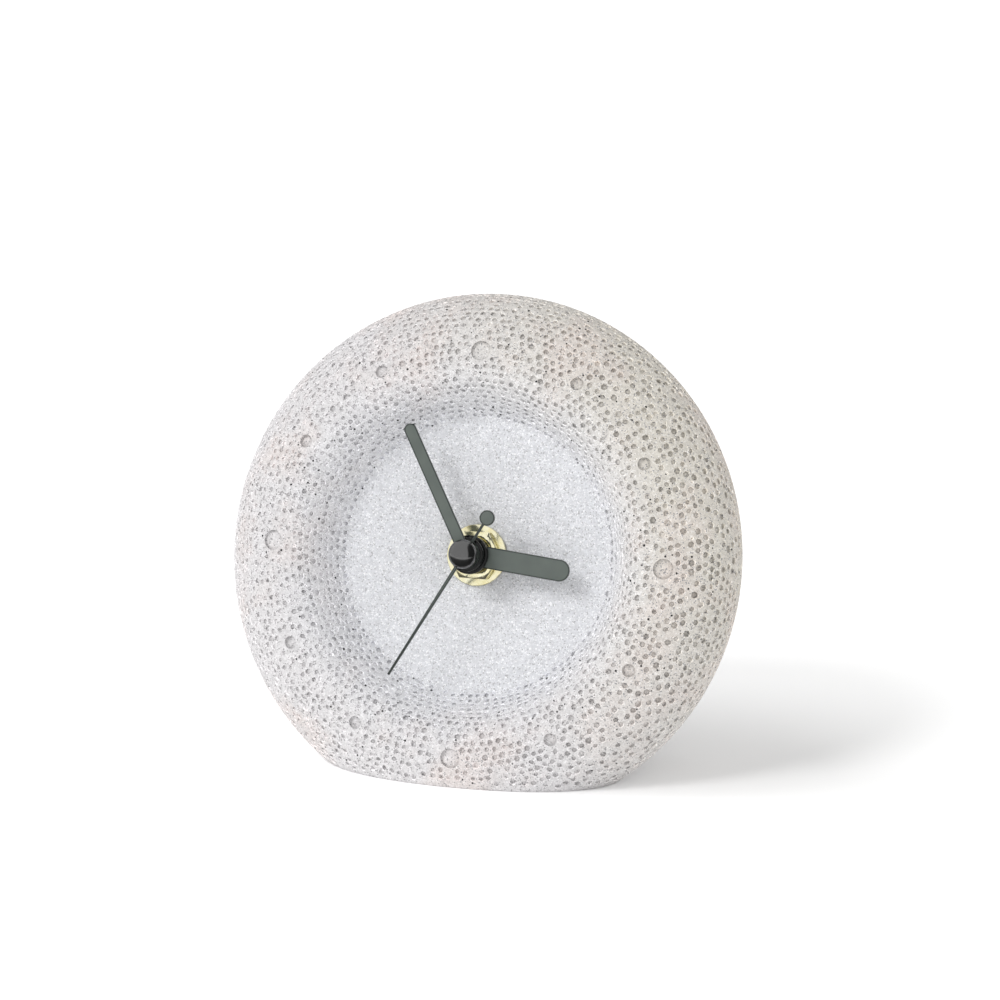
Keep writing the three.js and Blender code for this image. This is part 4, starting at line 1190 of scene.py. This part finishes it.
# Width of the band of painted shade along a hand's front edge.
PAINTED_EDGE_SHADE_WIDTH = 0.28
HAND_EYES = {"hour_hand": (4.9, 4.2, 3.35), "minute_hand": (2.8, 3.3, 2.45)}


def tip_of(node):
    """How far a hand reaches from the axis, and its turn from twelve, clockwise."""
    tip = max(dial_points(node), key=lambda point: point.xy.length)
    return tip.xy.length, math.atan2(tip.x, tip.y)


def finish_hand(piece, turn, body, node):
    """Bevels a hand as far as its shortest edge allows, turns it, and paints shade on its edges."""
    round_edges(piece, HAND_EDGE, 2, 40)
    edit(piece)
    choose_facing(piece, 0, 0, 1)
    bpy.ops.mesh.inset(thickness=PAINTED_EDGE_SHADE_WIDTH)
    piece.rotation_euler.z = -turn
    settle(piece)
    # The inset's outer band and the plate's sides take the painted edge shade.
    faces_without_edge_shade = [face.select or face.normal.z < -FLAT for face in piece.data.polygons]
    level = [abs(face.normal.z) > FLAT for face in piece.data.polygons]
    fit_piece(piece, body, "hand_metal", lacquer_and_painted_reflection, node)
    piece.data.materials.append(painted_edge_shade)
    piece.data.polygons.foreach_set("material_index", [int(not face) for face in faces_without_edge_shade])
    piece.data.polygons.foreach_set("use_smooth", [not face for face in level])


for node, (width, eye, hole) in HAND_EYES.items():
    low, high = dial_box(node)
    reach, turn = tip_of(node)
    hand = box(node + "_stamping", (-width / 2, 0, low.z), (width / 2, reach, high.z))
    round_corners(hand, width / 2 - 0.001, 10,
                  lambda edge: upright(edge) and edge.verts[0].co.y > reach - 0.01)
    combine(hand, drum("eye", eye, low.z, high.z, sides=64), "UNION")
    combine(hand, drum("eye_hole", hole, low.z - 1, high.z + 1, sides=64))
    finish_hand(hand, turn, "hours" if node == "hour_hand" else "minutes", node)
    print(f"{node} reaches {reach:.1f} mm at {math.degrees(turn) % 360:.1f} degrees")

# %% [markdown]
# ## Second hand
#
# The second hand is a needle that thins to its tip, with a round counterweight on its tail. The
# needle is a block whose far end is scaled down. The tail and the disc are joined on.

# %% Second hand
NEEDLE_WIDTHS = (0.8, 0.5)
TAIL_WIDTH = 0.55
NECK = 2.6
COUNTERWEIGHT = (9.7, 1.75)
SECOND_EYE = (1.6, 0.75)
needle_low, needle_high = dial_box("second_hand")
reach, turn = tip_of("second_hand")
needle = box("second_hand_needle", (-NEEDLE_WIDTHS[0] / 2, 0, needle_low.z),
             (NEEDLE_WIDTHS[0] / 2, reach, needle_high.z))
edit(needle)
choose_facing(needle, 0, 1, 0)
bpy.ops.transform.resize(value=(NEEDLE_WIDTHS[1] / NEEDLE_WIDTHS[0], 1, 1))
choose_facing(needle, 0, -1, 0)
push(0, -NECK, 0)
bpy.ops.transform.resize(value=(TAIL_WIDTH / NEEDLE_WIDTHS[0], 1, 1))
push(0, NECK - COUNTERWEIGHT[0], 0)
activate(needle)
weight = drum("counterweight", COUNTERWEIGHT[1], needle_low.z, needle_high.z,
              (0, -COUNTERWEIGHT[0]), 48)
combine(needle, weight, "UNION")
combine(needle, drum("needle_eye", SECOND_EYE[0], needle_low.z, needle_high.z), "UNION")
combine(needle, drum("needle_hole", SECOND_EYE[1], needle_low.z - 1, needle_high.z + 1, sides=32))
finish_hand(needle, turn, "seconds", "second_hand")

# %% [markdown]
# ## Collars and cap
#
# Two stepped collars grip the tubes of the hour and minute hands, and a domed cap hides the end
# of the second hand's arbor. All three are round, so each is half a section spun about the axis,
# with its corners rounded as a mould leaves them.

# %% Collars and cap
COLLARS = {
    "hour_hand_boss": ("hours", 2.65, 3.1, 4.4, (5.85, 7.05)),
    "minute_hand_boss": ("minutes", 1.75, 2.2, 3.9, (7.45, 8.95)),
}
CAP_RADIUS = 3.3
CAP_SKIRT = 0.9
CAP_ROUNDING = 0.16
CAP_SIDES = 80
DOME_STEPS = 18

for node, (body, bore, sleeve, flange, (back_face, front_face)) in COLLARS.items():
    low, high = dial_box(node)
    outline = [(bore, low.z), (sleeve, low.z), (sleeve, back_face), (flange, back_face),
               (flange, front_face), (sleeve, front_face), (sleeve, high.z), (bore, high.z)]
    outline = [corner for i, corner in enumerate(outline) if corner not in outline[:i]]
    collar = turned(node.replace("boss", "collar"), outline, CAP_SIDES)
    round_edges(collar, CAP_ROUNDING, 3)
    fit_piece(collar, body, "black_gloss", gloss_black, node, angle=30)

cap_low, cap_high = dial_box("second_hand_cap")
dome_foot = cap_low.z + CAP_SKIRT
outline = [(SECOND_EYE[1], cap_low.z), (CAP_RADIUS, cap_low.z)]
for step in range(DOME_STEPS):
    angle = math.pi / 2 * step / DOME_STEPS
    outline.append((CAP_RADIUS * math.cos(angle),
                    dome_foot + (cap_high.z - dome_foot) * math.sin(angle)))
outline += [(0.0, cap_high.z), (0.0, dome_foot + FIT_GAP), (SECOND_EYE[1], dome_foot + FIT_GAP)]
cap = turned("second_hand_dome", outline, CAP_SIDES)
round_edges(cap, CAP_ROUNDING, 2, 60)
fit_piece(cap, "seconds", "black_gloss", polished_black, "second_hand_cap", angle=40)

# %% [markdown]
# ## Finishes inside the movement
#
# The movement is a cheap and well made thing of a dozen materials: matt black housing with a
# spark-eroded texture, white and natural nylon wheels, bright and dark steel, copper wire, a
# green board. Most of them are the drifting recipe with other values and a fine grain, so they
# are rows of a table. The copper wire shows its turns instead.

# %% Movement finishes
MOVEMENT_FINISHES = {
    "moulded_black": ((27, 28, 29), (36, 37, 38), (0.42, 0.56), 0.30, 0.020),
    "white_nylon": ((238, 237, 232), (228, 226, 219), (0.30, 0.42), 0.50, 0.008),
    "natural_nylon": ((228, 221, 202), (217, 208, 186), (0.28, 0.40), 0.50, 0.008),
    "black_rubber": ((32, 32, 33), (42, 41, 40), (0.72, 0.88), 0.40, 0.030),
    "green_board": ((37, 92, 60), (30, 78, 51), (0.26, 0.36), 0.30, 0.006),
    "bright_steel": ((214, 216, 219), (190, 193, 197), (0.18, 0.34), 0.25, 0.004),
    "annealed_steel": ((128, 127, 128), (101, 101, 104), (0.34, 0.50), 0.25, 0.006),
    "sintered_magnet": ((86, 86, 90), (68, 68, 72), (0.42, 0.60), 0.18, 0.012),
}
METALS = ("bright_steel", "annealed_steel", "sintered_magnet")
finishes = {"turned_brass": brass, "gloss_black": gloss_black}
for name, (first, second, roughness, grain, depth) in MOVEMENT_FINISHES.items():
    plain = drifting(name, first, second, roughness, Metallic=float(name in METALS))
    finishes[name] = grained(plain, grain, depth)
copper, tree, shader = drifting("copper_wire", (196, 118, 70), (172, 96, 54), (0.22, 0.34),
                                Metallic=1.0)
turns = add_node(tree, "ShaderNodeTexWave", {
    "Vector": dial_millimetres(tree), "Scale": 2.2, "Distortion": 0.6,
}, bands_direction="Y")
roughen(tree, shader, turns.outputs["Fac"], 0.06)
finishes["copper_wire"] = copper
black_plastic = finishes["moulded_black"]
print(f"{len(bpy.data.materials)} materials so far")

# %% [markdown]
# ## Movement housing
#
# The tray of the movement is already right in the solid, but its edges are knife sharp, and a
# moulded edge never is. A copy of the solid is merged and its edges are rounded. The solid
# itself stays untouched.

# %% Movement housing
HOUSING_EDGE = 0.22
housing = add_object("movement_housing", nodes["movement_shell"].data.copy())
housing.data.name = housing.name
housing.matrix_world = to_dial
settle(housing)
edit(housing)
bpy.ops.mesh.remove_doubles(threshold=0.002)
bpy.ops.mesh.dissolve_limited(angle_limit=math.radians(1))
activate(housing)
round_edges(housing, HOUSING_EDGE, 2, 40)
fit_piece(housing, "case", "black_plastic", black_plastic, "movement_shell", angle=35)

# %% [markdown]
# ## Rear cover
#
# Seen from behind, the cover is what shows first. It is a block with rounded corners. Its rear
# face is inset and sunk, which leaves a rim, and ribs stiffen the sunken panel. A low wall guards
# the setting knob, and a plus and a minus show which way the cell goes. Holes let the arbors of the
# wheels run in it.

# %% Rear cover
cover_low, cover_high = dial_box("rear_cover")
knob_low, knob_high = dial_box("setting_knob")
knob_middle = (knob_low + knob_high) / 2
COVER_CORNER = 3.0
COVER_RIM = 1.8
PANEL_DEPTH = 0.5
cover = box("rear_cover_moulding", cover_low, cover_high)
round_corners(cover, COVER_CORNER, 6)
edit(cover)
choose_facing(cover, 0, 0, -1)
bpy.ops.mesh.inset(thickness=COVER_RIM)
bpy.ops.transform.translate(value=(0, 0, PANEL_DEPTH))
activate(cover)
panel = cover_low.z + PANEL_DEPTH
print(f"cover {cover_high.x - cover_low.x:.1f} mm wide")

# %% Ribs, signs, guard and bearings
RIBS = (-2.0, 5.0, 12.0, 19.0)
RIB_WIDTH = 0.9
RIB_FOOT = 6.5
RIB_CROSSING = 12.0
SIGNS = {"minus": 2.0, "plus": 21.5}
SIGN_HEIGHT = -7.6
SIGN_SIZE = 3.0
SIGN_LINE = 0.8
GUARD = (6.0, 6.9, 0.75)
BEARINGS = {"seconds_wheel": 0.75, "third_wheel": 0.9, "intermediate_wheel": 0.9,
            "rotor_pinion": 0.9}
SETTING_BORE = 1.25
COVER_EDGE = 0.14
EMBED = 0.2


def add_bar(left, right, bottom, top):
    """Joins a raised bar to the cover's rear face."""
    combine(cover, box("bar", (left, bottom, cover_low.z), (right, top, panel + EMBED)), "UNION")


rib_bottom = cover_low.y + COVER_RIM - EMBED + RIB_FOOT
rib_top = cover_high.y - COVER_RIM + EMBED
for x in RIBS:
    add_bar(x - RIB_WIDTH / 2, x + RIB_WIDTH / 2, rib_bottom, rib_top)
for y in (rib_bottom, rib_top - RIB_CROSSING):
    add_bar(RIBS[0], RIBS[-1], y - RIB_WIDTH / 2, y + RIB_WIDTH / 2)
for x in SIGNS.values():
    add_bar(x - SIGN_SIZE / 2, x + SIGN_SIZE / 2, SIGN_HEIGHT - SIGN_LINE / 2,
            SIGN_HEIGHT + SIGN_LINE / 2)
add_bar(SIGNS["plus"] - SIGN_LINE / 2, SIGNS["plus"] + SIGN_LINE / 2,
        SIGN_HEIGHT - SIGN_SIZE / 2, SIGN_HEIGHT + SIGN_SIZE / 2)
guard = turned("knob_guard", [
    (GUARD[0], panel + EMBED), (GUARD[1], panel + EMBED),
    (GUARD[1], cover_low.z - GUARD[2]), (GUARD[0], cover_low.z - GUARD[2]),
], 64)
guard.location = (knob_middle.x, knob_middle.y, 0)
settle(guard)
combine(cover, guard, "UNION")
for node, radius in BEARINGS.items():
    low, high = dial_box(node)
    middle = (low + high) / 2
    combine(cover, drum("bearing", radius, low.z - EMBED, cover_high.z + 1, middle.xy, 24))
combine(cover, drum("setting_hole", SETTING_BORE, cover_low.z - 1, cover_high.z + 1,
                    knob_middle.xy, 32))
round_edges(cover, COVER_EDGE, 2, 40)
fit_piece(cover, "case", "black_plastic", black_plastic, "rear_cover", angle=35)

# %% [markdown]
# ## Setting knob
#
# The knob that sets the hands is turned with a fingertip, so its edge is grooved and its face is
# dished. A cylinder gets its grooves when every other side edge is drawn in. The face is inset
# twice and sunk.

# %% Setting knob
KNOB_GROOVES = 36
GROOVE_SCALE = 0.93
KNOB_RIM = 1.1
KNOB_SLOPE = 0.35
KNOB_DISH = 0.45
KNOB_WEB = 0.65
KNOB_EDGE = 0.10
knob = drum("setting_knob_wheel", (knob_high.x - knob_low.x) / 2, knob_low.z, knob_high.z,
            knob_middle.xy, 2 * KNOB_GROOVES)


def grooved(edge):
    """True for every other upright edge of the knob's side."""
    spoke = edge.verts[0].co.xy - knob_middle.xy
    step = round(math.atan2(spoke.y, spoke.x) / (math.pi / KNOB_GROOVES))
    return upright(edge) and step % 2 == 0


edit(knob)
choose(knob, "edges", grooved)
bpy.ops.transform.resize(value=(GROOVE_SCALE, GROOVE_SCALE, 1), center_override=knob_middle)
choose_facing(knob, 0, 0, -1)
bpy.ops.mesh.inset(thickness=KNOB_RIM)
bpy.ops.mesh.inset(thickness=KNOB_SLOPE)
bpy.ops.transform.translate(value=(0, 0, KNOB_DISH))
activate(knob)
combine(knob, drum("knob_bore", SETTING_BORE, knob_low.z + KNOB_WEB, knob_high.z + 1,
                   knob_middle.xy, 32))
round_edges(knob, KNOB_EDGE, 2, 50)
fit_piece(knob, "setting", "white_plastic", finishes["white_nylon"], "setting_knob", angle=40)

# %% [markdown]
# ## Cell
#
# The AA cell is a steel can in a printed sleeve. The sleeve is shrunk over both ends, where it
# leaves a small rolled edge round the bare steel. The section is spun about the cell's own length
# and then laid down along the trough. The faces inside the rolled edges become steel.

# %% Cell
cell_low, cell_high = dial_box("battery_cell")
CELL_RADIUS = (cell_high.y - cell_low.y) / 2
NUB_LENGTH = 1.0
NUB_RADIUS = 2.75
BARE_RADIUS = 6.1
CELL_SIDES = 80
SILVER_BAND = (12.0, 12.3)
foot, top = cell_low.x, cell_high.x - NUB_LENGTH
cell = turned("battery_cell_body", [
    (0.0, foot + 0.1), (4.2, foot + 0.1), (4.6, foot + 0.3), (BARE_RADIUS, foot + 0.3),
    (6.4, foot), (6.9, foot + 0.05), (CELL_RADIUS, foot + 0.45),
    (CELL_RADIUS, top - 0.45), (6.9, top - 0.05), (6.4, top), (BARE_RADIUS, top - 0.3),
    (3.3, top - 0.3), (NUB_RADIUS, top - 0.05), (NUB_RADIUS, cell_high.x - 0.25),
    (NUB_RADIUS - 0.25, cell_high.x), (0.0, cell_high.x),
], CELL_SIDES, closed=False)
cell.rotation_euler.y = math.pi / 2
cell_middle = (cell_low + cell_high) / 2
cell.location = (0, cell_middle.y, cell_middle.z)
settle(cell)
steel_ends = [(face.center.yz - cell_middle.yz).length < BARE_RADIUS + 0.05
              for face in cell.data.polygons]

sleeve, tree, shader = drifting("printed_sleeve", (58, 104, 108), (66, 116, 119), (0.30, 0.42), 3.5,
                                Coat_Weight=0.35, Coat_Roughness=0.12)
along = add_node(tree, "ShaderNodeSeparateXYZ", {0: dial_millimetres(tree)}).outputs["X"]
printed = shader.inputs["Base Color"].links[0].from_socket
printed = blend_colours(tree, printed, tone(196, 199, 198), between(tree, along, *SILVER_BAND))
tree.links.new(printed, shader.inputs["Base Color"])
fit_piece(cell, "battery", "cell_wrap", sleeve, "battery_cell", angle=35)
cell.data.materials.append(finishes["bright_steel"])
cell.data.polygons.foreach_set("material_index", [int(bare) for bare in steel_ends])
print("steel ends:", sum(steel_ends), "faces")

# %% [markdown]
# ## Finishes on the solids that stay
#
# The wheels, the coil, the board and the contacts are fully shaped in the solids, and most of
# them are hidden behind the cover. They keep their solids and take the finishes from above.

# %% Finish the other solids
SOLID_FINISHES = {
    "black_rubber": ["rubber_gasket"],
    "moulded_black": ["middle_plate"],
    "annealed_steel": ["stator", "coil_core"],
    "natural_nylon": ["coil_bobbin", "centre_wheel", "hour_wheel"],
    "copper_wire": ["coil_winding"],
    "white_nylon": ["rotor_pinion", "intermediate_wheel", "third_wheel", "motion_wheel",
                    "setting_arbor"],
    "sintered_magnet": ["rotor_magnet"],
    "bright_steel": ["seconds_wheel", "clutch_spring", "quartz_crystal", "positive_contact",
                     "negative_contact"],
    "turned_brass": ["minute_cannon"],
    "green_board": ["circuit_board"],
    "gloss_black": ["clock_chip"],
}
for finish, names in SOLID_FINISHES.items():
    for name in names:
        for holder in nodes[name].material_slots:
            holder.material = finishes[finish]
print(f"{sum(len(names) for names in SOLID_FINISHES.values())} solids finished")
